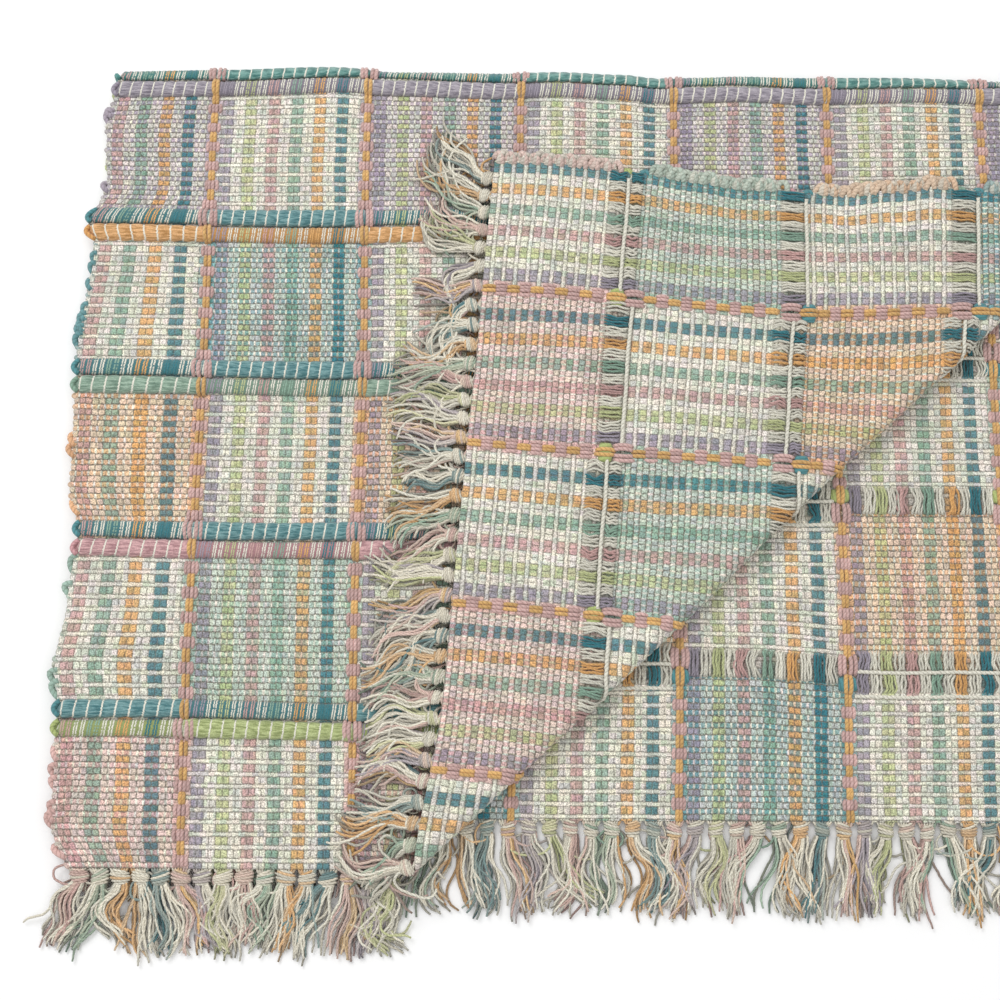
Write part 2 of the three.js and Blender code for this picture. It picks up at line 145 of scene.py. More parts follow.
@dataclass(frozen=True)
class RugFold:
    """Lays flat places of the cloth out as the folded rug lies, with its corner turned back."""

    width: float = 610.0
    length: float = 914.0
    fold_v: float = 473.5
    fold_y: float = 261.0
    lower_end_y: float = -181.6
    fold_radius: float = 2.5
    lower_height: float = 2.0
    turn_u: float = 181.0
    turn_degrees: float = 42.65
    turn_radius: float = 4.5
    turn_sag: float = 0.7
    sag_within: float = 60.0
    slip: float = 4.0
    dip_from: float = -190.0
    dip_over: float = 22.0
    dip_depth: float = 1.8
    wave_height: float = 0.6
    wave_across: float = 210.0
    wave_along: float = 170.0
    wave_fade: float = 60.0
    bulge_reach: float = 75.0
    drift_across: float = 0.8
    drift_along: float = 0.5
    crease_hollow: float = 3.2
    hollow_from: float = 215.0
    hollow_over: float = 85.0
    slip_from: float = -18.0
    slip_over: float = 32.0
    side_calm: float = 90.0
    end_calm: float = 60.0
    drift_across_wave: float = 263.0
    drift_along_wave: float = 310.0
    drift_along_twist: float = 210.0
    crease_slips: tuple[Ramp, ...] = (Ramp(10.0, 70.0, 7.0), Ramp(200.0, 100.0, 5.0))
    high_part: Ramp = Ramp(230.0, 50.0)
    high_slip: float = 3.0
    side_part: Ramp = Ramp(528.0, 75.0)
    side_from_end: Ramp = Ramp(100.0, 60.0)
    side_slip: float = 4.0
    drawn: Ramp = Ramp(370.0, 70.0, 12.0)
    drawn_fade: float = 90.0
    drawn_less: Ramp = Ramp(440.0, 60.0, 2.0)
    drawn_side: float = 70.0
    end_slip: float = 4.0
    end_over: float = 70.0
    far_part: Ramp = Ramp(380.0, 60.0)
    far_slip: float = 3.0
    far_slip_along: Ramp = Ramp(770.0, 50.0)
    far_across: float = 1.8
    far_across_along: Ramp = Ramp(500.0, 60.0)
    back_seen_from: float = -8.0
    back_clear_of_crease: float = 5.0
    face_seen_to: float = 1.0
    shift_x: float = 4.4
    shift_y: float = -0.9
    left_bulges: tuple[Bulge, ...] = (
        Bulge(0, -2), Bulge(29, 8), Bulge(94, 9), Bulge(114, 12), Bulge(151, 7),
        Bulge(191, 4), Bulge(220, 10), Bulge(296, 11), Bulge(364, 5), Bulge(377, 10),
        Bulge(402, 0), Bulge(438, 2), Bulge(472, -2), Bulge(560, -1), Bulge(914, -4),
    )
    right_bulges: tuple[Bulge, ...] = (
        Bulge(0, -5), Bulge(47, -3), Bulge(99, -4), Bulge(131, -7), Bulge(160, -9),
        Bulge(187, -8), Bulge(220, -8), Bulge(250, -3), Bulge(277, 2), Bulge(330, 2),
        Bulge(388, 2), Bulge(472, 0), Bulge(560, -3), Bulge(735, 1), Bulge(914, -3),
    )
    fold_reach: float = 70.0
    fold_bulges: tuple[Bulge, ...] = (
        Bulge(0, -1.8), Bulge(64, 0), Bulge(137, 1.8), Bulge(174, -0.6), Bulge(235, -1.8),
        Bulge(272, -0.6), Bulge(309, -2.4), Bulge(333, -4.8), Bulge(358, -3.6), Bulge(382, -2.7),
        Bulge(419, -3.6), Bulge(480, -3.3), Bulge(535, -4.6), Bulge(610, -4.8),
    )

    @property
    def fold_arc(self) -> float:
        """Length of cloth in the fold's bend."""
        return math.pi * self.fold_radius

    @property
    def turn_arc(self) -> float:
        """Length of cloth in the turned corner's roll."""
        return math.pi * self.turn_radius

    @property
    def upper_height(self) -> float:
        """Height of the upper layer's middle where it lies level."""
        return self.lower_height + 2.0 * self.fold_radius

    @property
    def turn_across(self) -> tuple[float, float]:
        """Plan direction straight across the crease, out of the cloth that stays down."""
        angle = math.radians(self.turn_degrees)
        return math.sin(angle), -math.cos(angle)

    @staticmethod
    def bulge_at(rows: tuple[Bulge, ...], place: Array) -> Array:
        """Reads an edge's bulges at a place, with a soft run from each to the next.

        Args:
            rows: the edge's bulges.
            place: places along it.

        Returns:
            How far the edge stands out there.
        """
        stops = np.array([row.at for row in rows], float)
        outs = np.array([row.out for row in rows], float)
        after = np.clip(np.searchsorted(stops, place), 1, len(rows) - 1)
        share = smooth((place - stops[after - 1]) / (stops[after] - stops[after - 1]))
        return outs[after - 1] + (outs[after] - outs[after - 1]) * share

    def plan_x(self, u: Array, v: Array) -> Array:
        """Plan x of a flat place, with the selvedges' bulges fading out inwards.

        Args:
            u: flat places across.
            v: flat places along.

        Returns:
            Plan places across.
        """
        left = self.bulge_at(self.left_bulges, v) * (1.0 - smooth(u / self.bulge_reach))
        right = self.bulge_at(self.right_bulges, v)
        right = right * (1.0 - smooth((self.width - u) / self.bulge_reach))
        return u - self.width / 2.0 - left + right

    def top_height(self, x: Array, y: Array) -> Array:
        """Height of the upper layer's middle over the plan.

        Args:
            x: plan places across.
            y: plan places towards the fold.

        Returns:
            Heights above what the rug lies on.
        """
        calm = smooth((self.fold_y - y) / self.wave_fade)
        wave = np.sin(TURN * x / self.wave_across) * np.sin(TURN * y / self.wave_along)
        level = 1.0 - smooth((self.dip_from - y) / self.dip_over)
        rise = self.wave_height * calm * level * (0.5 + 0.5 * wave)
        return self.upper_height + rise - self.dip_depth * (1.0 - level)

    def alongside(self, x: Array, y: Array) -> Array:
        """How far a plan place lies along the crease, from the cloth's end.

        Args:
            x: plan places across.
            y: plan places towards the fold.

        Returns:
            Distances along it.
        """
        across_x, across_y = self.turn_across
        start_x = self.turn_u - self.width / 2.0
        start_y = self.fold_y - self.fold_v
        return (y - start_y) * across_x - (x - start_x) * across_y

    def beyond(self, x: Array, y: Array) -> Array:
        """How far a plan place lies past the crease, which runs straight and then a little inwards.

        Args:
            x: plan places across.
            y: plan places towards the fold.

        Returns:
            Distances, negative on the cloth that stays down.
        """
        across_x, across_y = self.turn_across
        start_x = self.turn_u - self.width / 2.0
        start_y = self.fold_y - self.fold_v
        inwards = smooth((self.alongside(x, y) - self.hollow_from) / self.hollow_over)
        return (x - start_x) * across_x + (y - start_y) * across_y + self.crease_hollow * inwards

    def past_crease(self, u: Array, v: Array) -> Array:
        """How far a flat place of the upper layer lies past the crease."""
        on_u, on_v = self.drifted(u, v)
        return self.beyond(self.plan_x(on_u, on_v), self.fold_y - self.fold_v + on_v)

    def drifted(self, u: Array, v: Array) -> tuple[Array, Array]:
        """Moves flat places by the cloth's slack: slow waves, and the slip of what is turned back.

        Args:
            u: flat places across.
            v: flat places along.

        Returns:
            The moved places across and along.
        """
        u, v = np.broadcast_arrays(np.asarray(u, float), np.asarray(v, float))
        inside = smooth(u / self.side_calm) * smooth((self.width - u) / self.side_calm)
        calm = smooth(v / self.end_calm) * smooth((self.length - v) / self.end_calm)
        wave_u = np.sin(TURN * v / self.drift_across_wave + 1.0)
        wave_v = np.sin(TURN * u / self.drift_along_wave + 0.8 + v / self.drift_along_twist)
        on_u = u + self.drift_across * inside * wave_u
        on_v = v + self.drift_along * calm * wave_v
        x, y = u - self.width / 2.0, self.fold_y - self.fold_v + v
        along, past = self.alongside(x, y), self.beyond(x, y)
        turned = np.where(v < self.fold_v, smooth((past - self.slip_from) / self.slip_over), 0.0)
        high = self.high_part.at(v)
        near_side = self.side_part.at(u) * self.side_from_end.at(v)
        slip = sum(step.at(along) for step in self.crease_slips)
        slip = slip + self.high_slip * high - self.side_slip * near_side * (1.0 - 0.5 * high)
        drawn = self.drawn.at(along) * np.exp(-np.clip(past, 0.0, None) / self.drawn_fade)
        drawn = (drawn - self.drawn_less.at(u)) * smooth((self.width - u) / self.drawn_side)
        end = self.end_slip * (1.0 - smooth(v / self.end_over))
        far_side = self.far_part.at(u) * (v > self.fold_v)
        low = self.far_slip * far_side * self.far_slip_along.at(v)
        low = low * smooth((self.length - v) / 50.0)
        across = self.far_across * far_side * self.far_across_along.at(v) * inside
        on_u = on_u + drawn * turned + across
        on_v = on_v + slip * turned + end * (1.0 - turned) + low
        return on_u, on_v

    def middle(self, u: Array, v: Array) -> Array:
        """The cloth's middle surface.

        Args:
            u: flat places across.
            v: flat places along.

        Returns:
            Points of the middle surface, three numbers each.
        """
        u, v = np.broadcast_arrays(np.asarray(u, float), np.asarray(v, float))
        x = self.plan_x(u, v)
        y = self.fold_y - self.fold_v + v
        across_x, across_y = self.turn_across
        past = self.beyond(x, y)
        foot_x, foot_y = x - across_x * past, y - across_y * past
        angle = np.clip(past / self.turn_radius, 0.0, math.pi)
        back = np.clip(past - self.turn_arc, 0.0, None)
        out = self.turn_radius * np.sin(angle) - back
        turned_x, turned_y = foot_x + across_x * out, foot_y + across_y * out
        foot_height = self.top_height(foot_x, foot_y)
        away = smooth(back / self.sag_within)
        base = self.top_height(turned_x, np.maximum(turned_y, self.dip_from))
        turned_z = foot_height + (base - foot_height) * away - self.turn_sag * away
        turned_z = turned_z + self.turn_radius * (1.0 - np.cos(angle))
        turned = past > 0.0
        top = np.stack([
            np.where(turned, turned_x, x),
            np.where(turned, turned_y, y),
            np.where(turned, turned_z, self.top_height(x, y)),
        ], -1)
        bend = np.clip((v - self.fold_v) / self.fold_radius, 0.0, math.pi)
        lower_length = self.length - self.fold_v - self.fold_arc
        share = np.clip(v - self.fold_v - self.fold_arc, 0.0, None) / lower_length
        along = share * (self.fold_y - self.lower_end_y)
        low = np.stack([
            x - self.slip * share,
            self.fold_y + self.fold_radius * np.sin(bend) - along,
            self.lower_height + self.fold_radius * (1.0 + np.cos(bend)),
        ], -1)
        return np.where((v > self.fold_v)[..., None], low, top)

    def normal(self, u: Array, v: Array) -> Array:
        """Which way the face side looks at flat places.

        Args:
            u: flat places across.
            v: flat places along.

        Returns:
            Directions of length one.
        """
        step = 0.25
        right = self.middle(np.minimum(u + step, self.width), v)
        left = self.middle(np.maximum(u - step, 0.0), v)
        far = self.middle(u, np.minimum(v + step, self.length))
        near = self.middle(u, np.maximum(v - step, 0.0))
        direction = np.cross(right - left, far - near)
        return direction / np.linalg.norm(direction, axis=-1, keepdims=True)

    def place(self, u: Array, v: Array, lift: Array = 0.0) -> Array:
        """Where flat places lie in the row frame.

        Args:
            u: flat places across.
            v: flat places along.
            lift: distance off the middle surface, towards the face side where positive.

        Returns:
            Points in millimetres.
        """
        u, v, lift = np.broadcast_arrays(*(np.asarray(each, float) for each in (u, v, lift)))
        on_u, on_v = self.drifted(u, v)
        points = self.middle(on_u, on_v)
        points = points + self.normal(on_u, on_v) * lift[..., None]
        points = points + np.array([self.shift_x, self.shift_y, 0.0])
        by_fold = 1.0 - smooth(np.abs(on_v - self.fold_v) / self.fold_reach)
        points[..., 1] += self.bulge_at(self.fold_bulges, on_u) * by_fold
        points[..., 2] = np.maximum(points[..., 2], 0.0)
        return points

    def shows_back(self, u: Array, v: Array) -> Array:
        """True where the back side looks up and nothing lies on it.

        Args:
            u: flat places across.
            v: flat places along.

        Returns:
            True or False for each place.
        """
        at = self.middle(*self.drifted(u, v))
        uncovered = self.beyond(at[..., 0], at[..., 1]) > self.back_seen_from
        turned = self.past_crease(u, v) > self.back_clear_of_crease
        return np.where(v > self.fold_v, uncovered, turned)

    def shows_face(self, u: Array, v: Array) -> Array:
        """True where the face side looks up or lies in the roll of the turned corner."""
        return (v <= self.fold_v + self.fold_arc) & (self.past_crease(u, v) < self.face_seen_to)


@dataclass(frozen=True)
class Band:
    """One band of plain weave between two ribs.

    It has its count of two-shot cycles, its coloured weft, and how much the weft tints cream warps.
    """

    start: float
    end: float
    cycles: float
    weft: Dye
    tint: float


@dataclass(frozen=True)
class Rib:
    """A raised pair of thick rows. The upper row shows on odd columns, or else on even ones."""

    centre: float
    lower: Dye
    upper: Dye
    upper_on_odd: bool = False

    def shows(self, column: Array, upper: Array) -> Array:
        """True where a row lies bare on the face side, in the columns given."""
        odd = (column % 2) == 1
        return np.where(upper, odd == self.upper_on_odd, odd != self.upper_on_odd)


@dataclass(frozen=True)
class Weave:
    """The rug's pattern: warp stripes between chains, and weft bands between ribs."""

    width: float = 610.0
    length: float = 914.0
    chain_first: float = 63.0
    chain_pitch: float = 93.0
    chain_count: int = 6
    chain_half: float = 4.65
    beads: int = 24
    rib_half: float = 10.0
    fold_rib: float = 472.6
    rib_cycles: float = 3.0
    lines_a_pitch: float = 26.0
    stripes: tuple[Dye, ...] = (
        Dye.LAVENDER, Dye.LIME, Dye.PINK, Dye.SAGE, Dye.ORANGE, Dye.TEAL,
    )
    bands: tuple[Band, ...] = (
        Band(0.0, 74.5, 10.5, Dye.WEFT_PINK, 0.45),
        Band(94.5, 176.5, 11.5, Dye.WEFT_SAGE, 0.5),
        Band(196.5, 273.0, 11.5, Dye.WEFT_PEACH, 0.42),
        Band(293.0, 367.5, 11.5, Dye.WEFT_TEAL, 0.38),
        Band(387.5, 462.6, 12.0, Dye.WEFT_LAVENDER, 0.25),
        Band(482.6, 552.0, 11.0, Dye.WEFT_LIME, 0.3),
        Band(572.0, 643.0, 11.0, Dye.WEFT_PINK, 0.45),
        Band(663.0, 728.4, 10.0, Dye.WEFT_SAGE, 0.5),
        Band(748.4, 821.3, 11.0, Dye.WEFT_PEACH, 0.42),
        Band(841.3, 914.0, 11.0, Dye.WEFT_TEAL, 0.38),
    )
    ribs: tuple[Rib, ...] = (
        Rib(84.5, Dye.RIB_LIME, Dye.RIB_TEAL, upper_on_odd=True),
        Rib(186.5, Dye.RIB_PINK, Dye.RIB_TEAL),
        Rib(283.0, Dye.RIB_SAGE, Dye.RIB_TEAL),
        Rib(377.5, Dye.RIB_ORANGE, Dye.RIB_TEAL),
        Rib(472.6, Dye.RIB_LAVENDER, Dye.RIB_SEA),
        Rib(562.0, Dye.RIB_SAGE, Dye.RIB_TEAL),
        Rib(653.0, Dye.RIB_PINK, Dye.RIB_TEAL),
        Rib(738.4, Dye.RIB_LIME, Dye.RIB_TEAL, upper_on_odd=True),
        Rib(831.3, Dye.RIB_PINK, Dye.RIB_TEAL),
    )

    @property
    def bead(self) -> float:
        """Width of one warp bead."""
        return (self.chain_pitch - 2.0 * self.chain_half) / self.beads

    @property
    def chains(self) -> Array:
        """Where the chains' middles lie across the cloth."""
        return self.chain_first + self.chain_pitch * np.arange(self.chain_count)

    def column(self, u: Array) -> Array:
        """Number of the column between chains, from 1 at the left selvedge."""
        return np.floor((u - self.chain_first) / self.chain_pitch).astype(int) + 2

    def past_chain(self, u: Array) -> Array:
        """How far u lies past the last chain's middle."""
        return np.mod(u - self.chain_first, self.chain_pitch)

    def from_chain(self, u: Array) -> Array:
        """How far u lies from the nearest chain's middle."""
        half = self.chain_pitch / 2.0
        return np.abs(np.mod(u - self.chain_first + half, self.chain_pitch) - half)

    def warp_colours(self, u: Array) -> Array:
        """Colours of the warps.

        Args:
            u: flat places across.

        Returns:
            Linear colours, three numbers each.
        """
        offset = self.past_chain(u)
        pair = np.floor((offset - self.chain_half) / (2.0 * self.bead)).astype(int)
        choices = [Dye.CREAM, *self.stripes, Dye.CHAIN_PINK, Dye.CHAIN_ORANGE]
        table = np.array([dye.rgb for dye in choices])
        chosen = np.where(pair % 2 == 0, pair // 2 + 1, 0)
        from_chain = np.minimum(offset, self.chain_pitch - offset)
        chain = np.where(from_chain < self.chain_half * 0.35, len(choices) - 1, len(choices) - 2)
        chosen = np.where(from_chain < self.chain_half, chain, chosen)
        return table[np.clip(chosen, 0, len(choices) - 1)]

    def band_number(self, v: Array) -> Array:
        """Number of the band that v belongs to, from 1, with each rib shared by its two bands."""
        return np.searchsorted(np.array([rib.centre for rib in self.ribs]), v) + 1

    def coloured(self, u: Array, v: Array, side: Side) -> Array:
        """True where a cell's weft is coloured on the side given."""
        return ((self.column(u) + self.band_number(v)) % 2 == 0) == (side is Side.FACE)

    def cycle_at(self, v: Array) -> Array:
        """The count of weaving cycles from the first end up to v.

        Args:
            v: flat places along.

        Returns:
            Counts, with parts of a cycle.
        """
        stops, counts, count = [], [], 0.0
        for band in self.bands:
            stops += [band.start, band.end]
            counts += [count, count + band.cycles]
            count += band.cycles + self.rib_cycles
        return np.interp(v, stops, counts)

    def lines_across(self) -> Array:
        """Grid lines of the cloth by u, with one on each chain's middle.

        Returns:
            Places from one selvedge to the other.
        """
        step = self.chain_pitch / self.lines_a_pitch
        count = int(self.chain_first / step)
        lines = self.chain_first + step * np.arange(-count, int(self.width / step) - count + 1)
        lines = lines[(lines > 1.0) & (lines < self.width - 1.0)]
        return np.concatenate([[0.0], lines, [self.width]])

    def lines_along(self) -> Array:
        """Grid lines of the cloth by v: on each row of the bands, and closer over the ribs.

        Returns:
            Places from one end to the other. Three bands that show little have half as many.
        """
        lines = []
        for number, band in enumerate(self.bands):
            fine = 1.0 if 5 <= number <= 7 else 2.0
            steps = int(round(band.cycles * fine))
            lines.append(band.start + (band.end - band.start) * (np.arange(steps) + 0.5) / steps)
        for rib in self.ribs:
            folded = abs(rib.centre - self.fold_rib) < 1.0
            lines.append(rib.centre + np.linspace(-1.0, 1.0, 17 if folded else 9) * self.rib_half)
        return np.unique(np.concatenate([[0.0, self.length], *lines]))

    def rib_share(self, v: Array) -> Array:
        """How far v lies in a rib's zone: 1 on its middle, 0 outside.

        Args:
            v: flat places along.

        Returns:
            Shares.
        """
        centres = np.array([rib.centre for rib in self.ribs])
        off = np.abs(np.asarray(v)[..., None] - centres).min(-1)
        return np.clip(1.0 - off / self.rib_half, 0.0, 1.0)


@dataclass
class Stock:
    """Points, faces and tints that are gathered until they become one piece."""

    points: list[Array] = field(default_factory=list)
    faces: list[Array] = field(default_factory=list)
    tints: list[Array] = field(default_factory=list)
    maps: list[Array] = field(default_factory=list)
    count: int = 0

    def add_grids(self, grids: Array, tints: Array, maps: Array) -> None:
        """Adds grids of points, each a tube with closed ends.

        Args:
            grids: points as (grid, ring, side, 3).
            tints: colours that spread over (grid, ring, side, 4).
            maps: map places as (grid, ring, side + 1, 2).
        """
        many, rings, sides, _ = grids.shape
        self.points.append(grids.reshape(-1, 3))
        self.tints.append(np.broadcast_to(tints, (many, rings, sides, 4)).reshape(-1, 4))
        numbers = self.count + np.arange(many * rings * sides).reshape(many, rings, sides)
        self.count += many * rings * sides
        looped = np.concatenate([numbers, numbers[:, :, :1]], 2)
        quads = [looped[:, :-1, :-1], looped[:, 1:, :-1], looped[:, 1:, 1:], looped[:, :-1, 1:]]
        self.faces.append(np.stack(quads, -1).reshape(-1, 4))
        spots = [maps[:, :-1, :-1], maps[:, 1:, :-1], maps[:, 1:, 1:], maps[:, :-1, 1:]]
        self.maps.append(np.stack(spots, -2).reshape(-1, 2))
        for ring, order in ((0, slice(None)), (rings - 1, slice(None, None, -1))):
            self.faces.append(numbers[:, ring][:, order])
            self.maps.append(maps[:, ring, :-1][:, order].reshape(-1, 2))

    def add_tubes(
        self,
        paths: Array,
        radius: Array,
        tints: Array,
        up: Array = UP,
        sides: int = 5,
        flat: float = 1.0,
    ) -> None:
        """Adds a tube of yarn along each path.

        Args:
            paths: points as (tube, point, 3).
            radius: radii that spread over (tube, point).
            tints: linear colours as (tube, 3).
            up: directions that a tube's section stands on, spread over (tube, point, 3).
            sides: number of sides of the section.
            flat: height of the section as a share of its width.
        """
        many, count, _ = paths.shape
        run = np.gradient(paths, axis=1)
        run /= np.linalg.norm(run, axis=-1, keepdims=True) + 1e-9
        side = np.cross(run, np.broadcast_to(np.asarray(up, float), paths.shape))
        side /= np.linalg.norm(side, axis=-1, keepdims=True) + 1e-9
        top = np.cross(side, run)
        angle = TURN * np.arange(sides) / sides
        reach = np.broadcast_to(radius, (many, count))[:, :, None, None]
        out = np.cos(angle)[:, None] * side[:, :, None]
        out = out + flat * np.sin(angle)[:, None] * top[:, :, None]
        grids = paths[:, :, None] + reach * out
        steps = np.linalg.norm(np.diff(paths, axis=1), axis=-1)
        along = np.concatenate([np.zeros((many, 1)), np.cumsum(steps, 1)], 1) * 0.01
        around = np.arange(sides + 1) / sides
        maps = np.stack(np.broadcast_arrays(along[:, :, None], around[None, None, :]), -1)
        colour = np.concatenate([tints, np.ones((many, 1))], 1)[:, None, None, :]
        self.add_grids(grids, colour, maps)

    def make(self, name: str, finish: "Finish", body: str = "root") -> bpy.types.Object:
        """Makes the gathered stock into one piece that rides on a body, with nothing below the floor.

        Args:
            name: the piece's name.
            finish: what it is dressed in.
            body: the body that it moves with.

        Returns:
            The new piece.
        """
        mesh = bpy.data.meshes.new(name)
        points = np.concatenate(self.points) * MM
        points[:, 2] = np.maximum(points[:, 2], 0.0)
        mesh.vertices.add(len(points))
        mesh.vertices.foreach_set("co", points.astype(np.float32).ravel())
        sizes = np.concatenate([np.full(len(block), block.shape[1]) for block in self.faces])
        corners = np.concatenate([block.ravel() for block in self.faces]).astype(np.int32)
        mesh.loops.add(len(corners))
        mesh.polygons.add(len(sizes))
        starts = np.cumsum(sizes) - sizes
        mesh.polygons.foreach_set("loop_start", starts.astype(np.int32))
        mesh.polygons.foreach_set("vertices", corners)
        mesh.polygons.foreach_set("use_smooth", np.ones(len(sizes), bool))
        if self.tints:
            tint = mesh.attributes.new("tint", "FLOAT_COLOR", "POINT")
            tint.data.foreach_set("color", np.concatenate(self.tints).astype(np.float32).ravel())
        if self.maps:
            strand = mesh.uv_layers.new(name="strand")
            strand.data.foreach_set("uv", np.concatenate(self.maps).astype(np.float32).ravel())
        mesh.update(calc_edges=True)
        mesh.materials.append(finish.material())
        piece = bpy.data.objects.new(name, mesh)
        bpy.context.scene.collection.objects.link(piece)
        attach(piece, body)
        LOG.info("%s: %d triangles", name, int((sizes - 2).sum()))
        return piece


@dataclass
class Bench:
    """Places nodes in one shader tree and joins them."""

    tree: bpy.types.NodeTree

    def node(self, kind: str, **settings: object) -> bpy.types.Node:
        """Adds a node and sets its properties.

        Args:
            kind: the node's type.
            settings: its properties by name.

        Returns:
            The node.
        """
        made = self.tree.nodes.new(kind)
        for name, value in settings.items():
            setattr(made, name, value)
        return made

    def feed(self, socket: Socket, value: object) -> None:
        """Joins a socket to another, or sets its plain value.

        Args:
            socket: the socket that takes it.
            value: a socket or a plain value.
        """
        if isinstance(value, Socket):
            self.tree.links.new(value, socket)
        else:
            socket.default_value = value

    def number(self, operation: str, *values: object) -> Socket:
        """Works out a number.

        Args:
            operation: name of the Math node's operation.
            values: sockets or plain numbers, in its order.

        Returns:
            The result's socket.
        """
        made = self.node("ShaderNodeMath", operation=operation)
        for socket, value in zip(made.inputs, values):
            self.feed(socket, value)
        return made.outputs[0]

    def mix_number(self, share: object, low: object, high: object) -> Socket:
        """Mixes two numbers.

        Args:
            share: how much of the second.
            low: the first.
            high: the second.

        Returns:
            The mixed number's socket.
        """
        made = self.node("ShaderNodeMix", data_type="FLOAT")
        for place, value in ((0, share), (2, low), (3, high)):
            self.feed(made.inputs[place], value)
        return made.outputs[0]

    def step(self, value: object, low: float, high: float) -> Socket:
        """Soft step from 0 to 1 as value runs from low to high.

        Args:
            value: what runs.
            low: where the step starts.
            high: where it ends.

        Returns:
            The step's socket.
        """
        made = self.node("ShaderNodeMapRange", interpolation_type="SMOOTHSTEP")
        for name, given in (("Value", value), ("From Min", low), ("From Max", high)):
            self.feed(made.inputs[name], given)
        return made.outputs["Result"]

    def mix(self, share: object, low: object, high: object, kind: str = "MIX") -> Socket:
        """Mixes two colours.

        Args:
            share: how much of the second.
            low: the first colour or its socket.
            high: the second colour or its socket.
            kind: name of the blend.

        Returns:
            The mixed colour's socket.
        """
        made = self.node("ShaderNodeMix", data_type="RGBA", blend_type=kind)
        self.feed(made.inputs[0], share)
        self.feed(made.inputs[6], low)
        self.feed(made.inputs[7], high)
        return made.outputs[2]

    def noise(self, place: Socket, scale: float, detail: float, kind: str = "3D") -> Socket:
        """Adds soft noise.

        Args:
            place: where it is read.
            scale: its fineness.
            detail: how many finer layers it has.
            kind: its number of dimensions.

        Returns:
            A number around a half.
        """
        made = self.node("ShaderNodeTexNoise", noise_dimensions=kind)
        for name, value in (("Vector", place), ("Scale", scale), ("Detail", detail)):
            self.feed(made.inputs[name], value)
        return made.outputs["Fac"]

    def grey(self, share: Socket) -> Socket:
        """A grey as light as share.

        Args:
            share: how light it is.

        Returns:
            The grey's socket.
        """
        made = self.node("ShaderNodeCombineColor")
        for socket in made.inputs:
            self.feed(socket, share)
        return made.outputs[0]

    def parts(self, place: Socket) -> tuple[Socket, Socket]:
        """The first two numbers of a place.

        Args:
            place: the place.

        Returns:
            Its two numbers.
        """
        made = self.node("ShaderNodeSeparateXYZ")
        self.feed(made.inputs[0], place)
        return made.outputs["X"], made.outputs["Y"]

    def pair(self, first: Socket, second: Socket) -> Socket:
        """Joins two numbers into a place.

        Args:
            first: its first number.
            second: its second number.

        Returns:
            The place.
        """
        made = self.node("ShaderNodeCombineXYZ")
        self.feed(made.inputs[0], first)
        self.feed(made.inputs[1], second)
        return made.outputs[0]

    def off_middle(self, share: Socket, middle: float = 0.5) -> Socket:
        """How far a share lies off a middle."""
        return self.number("ABSOLUTE", self.number("SUBTRACT", share, middle))

    def one_less(self, share: Socket) -> Socket:
        """One less a share."""
        return self.number("SUBTRACT", 1.0, share)

    def group(self, tree: bpy.types.NodeTree, **values: object) -> dict[str, Socket]:
        """Places a group and feeds its named inputs.

        Args:
            tree: the group.
            values: its inputs by name.

        Returns:
            Its outputs by name.
        """
        made = self.node("ShaderNodeGroup", node_tree=tree)
        for name, value in values.items():
            self.feed(made.inputs[name], value)
        return {socket.name: socket for socket in made.outputs}


@dataclass(frozen=True)
class Effect:
    """A shader group with named inputs and outputs, built once and placed in several finishes."""

    name: str
    inputs: tuple[tuple[str, str], ...]
    outputs: tuple[tuple[str, str], ...]

    def tree(self) -> bpy.types.NodeTree:
        """Returns the group, and builds it the first time that it is asked for.

        Returns:
            The group.
        """
        found = bpy.data.node_groups.get(self.name)
        if found is not None:
            return found
        made = bpy.data.node_groups.new(self.name, "ShaderNodeTree")
        for direction, sockets in (("INPUT", self.inputs), ("OUTPUT", self.outputs)):
            for name, kind in sockets:
                made.interface.new_socket(name=name, in_out=direction, socket_type=kind)
        bench = Bench(made)
        given = bench.node("NodeGroupInput")
        wanted = bench.node("NodeGroupOutput")
        results = self.work(bench, {socket.name: socket for socket in given.outputs})
        for name, socket in results.items():
            bench.feed(wanted.inputs[name], socket)
        return made

    def work(self, bench: Bench, given: dict[str, Socket]) -> dict[str, Socket]:
        """Builds the group's inside. Each effect has its own."""
        raise NotImplementedError


NUMBER, COLOUR, VECTOR = "NodeSocketFloat", "NodeSocketColor", "NodeSocketVector"


@dataclass(frozen=True)
class CottonFibre(Effect):
    """Uneven dye and fuzz of cotton yarn."""

    name: str = "cotton_fibre"
    inputs: tuple[tuple[str, str], ...] = (("Colour", COLOUR), ("Unevenness", NUMBER))
    outputs: tuple[tuple[str, str], ...] = (("Colour", COLOUR), ("Height", NUMBER))
    fine_scale: float = 1400.0
    slow_scale: float = 38.0
    slow_weight: float = 0.6
    average: float = 0.8

    def work(self, bench: Bench, given: dict[str, Socket]) -> dict[str, Socket]:
        """Two sizes of noise lighten and darken the colour, and the finer one raises fuzz.

        Args:
            bench: where the nodes go.
            given: the group's inputs.

        Returns:
            The group's outputs.
        """
        place = bench.node("ShaderNodeTexCoord").outputs["Object"]
        fine = bench.noise(place, self.fine_scale, 1.0)
        slow = bench.noise(place, self.slow_scale, 3.0)
        speck = bench.step(fine, 0.34, 0.66)
        both = bench.number("ADD", speck, bench.number("MULTIPLY", slow, self.slow_weight))
        centred = bench.number("SUBTRACT", both, self.average)
        factor = bench.number("MULTIPLY_ADD", centred, given["Unevenness"], 1.0)
        colour = bench.mix(1.0, given["Colour"], bench.grey(factor), "MULTIPLY")
        return {"Colour": colour, "Height": fine}


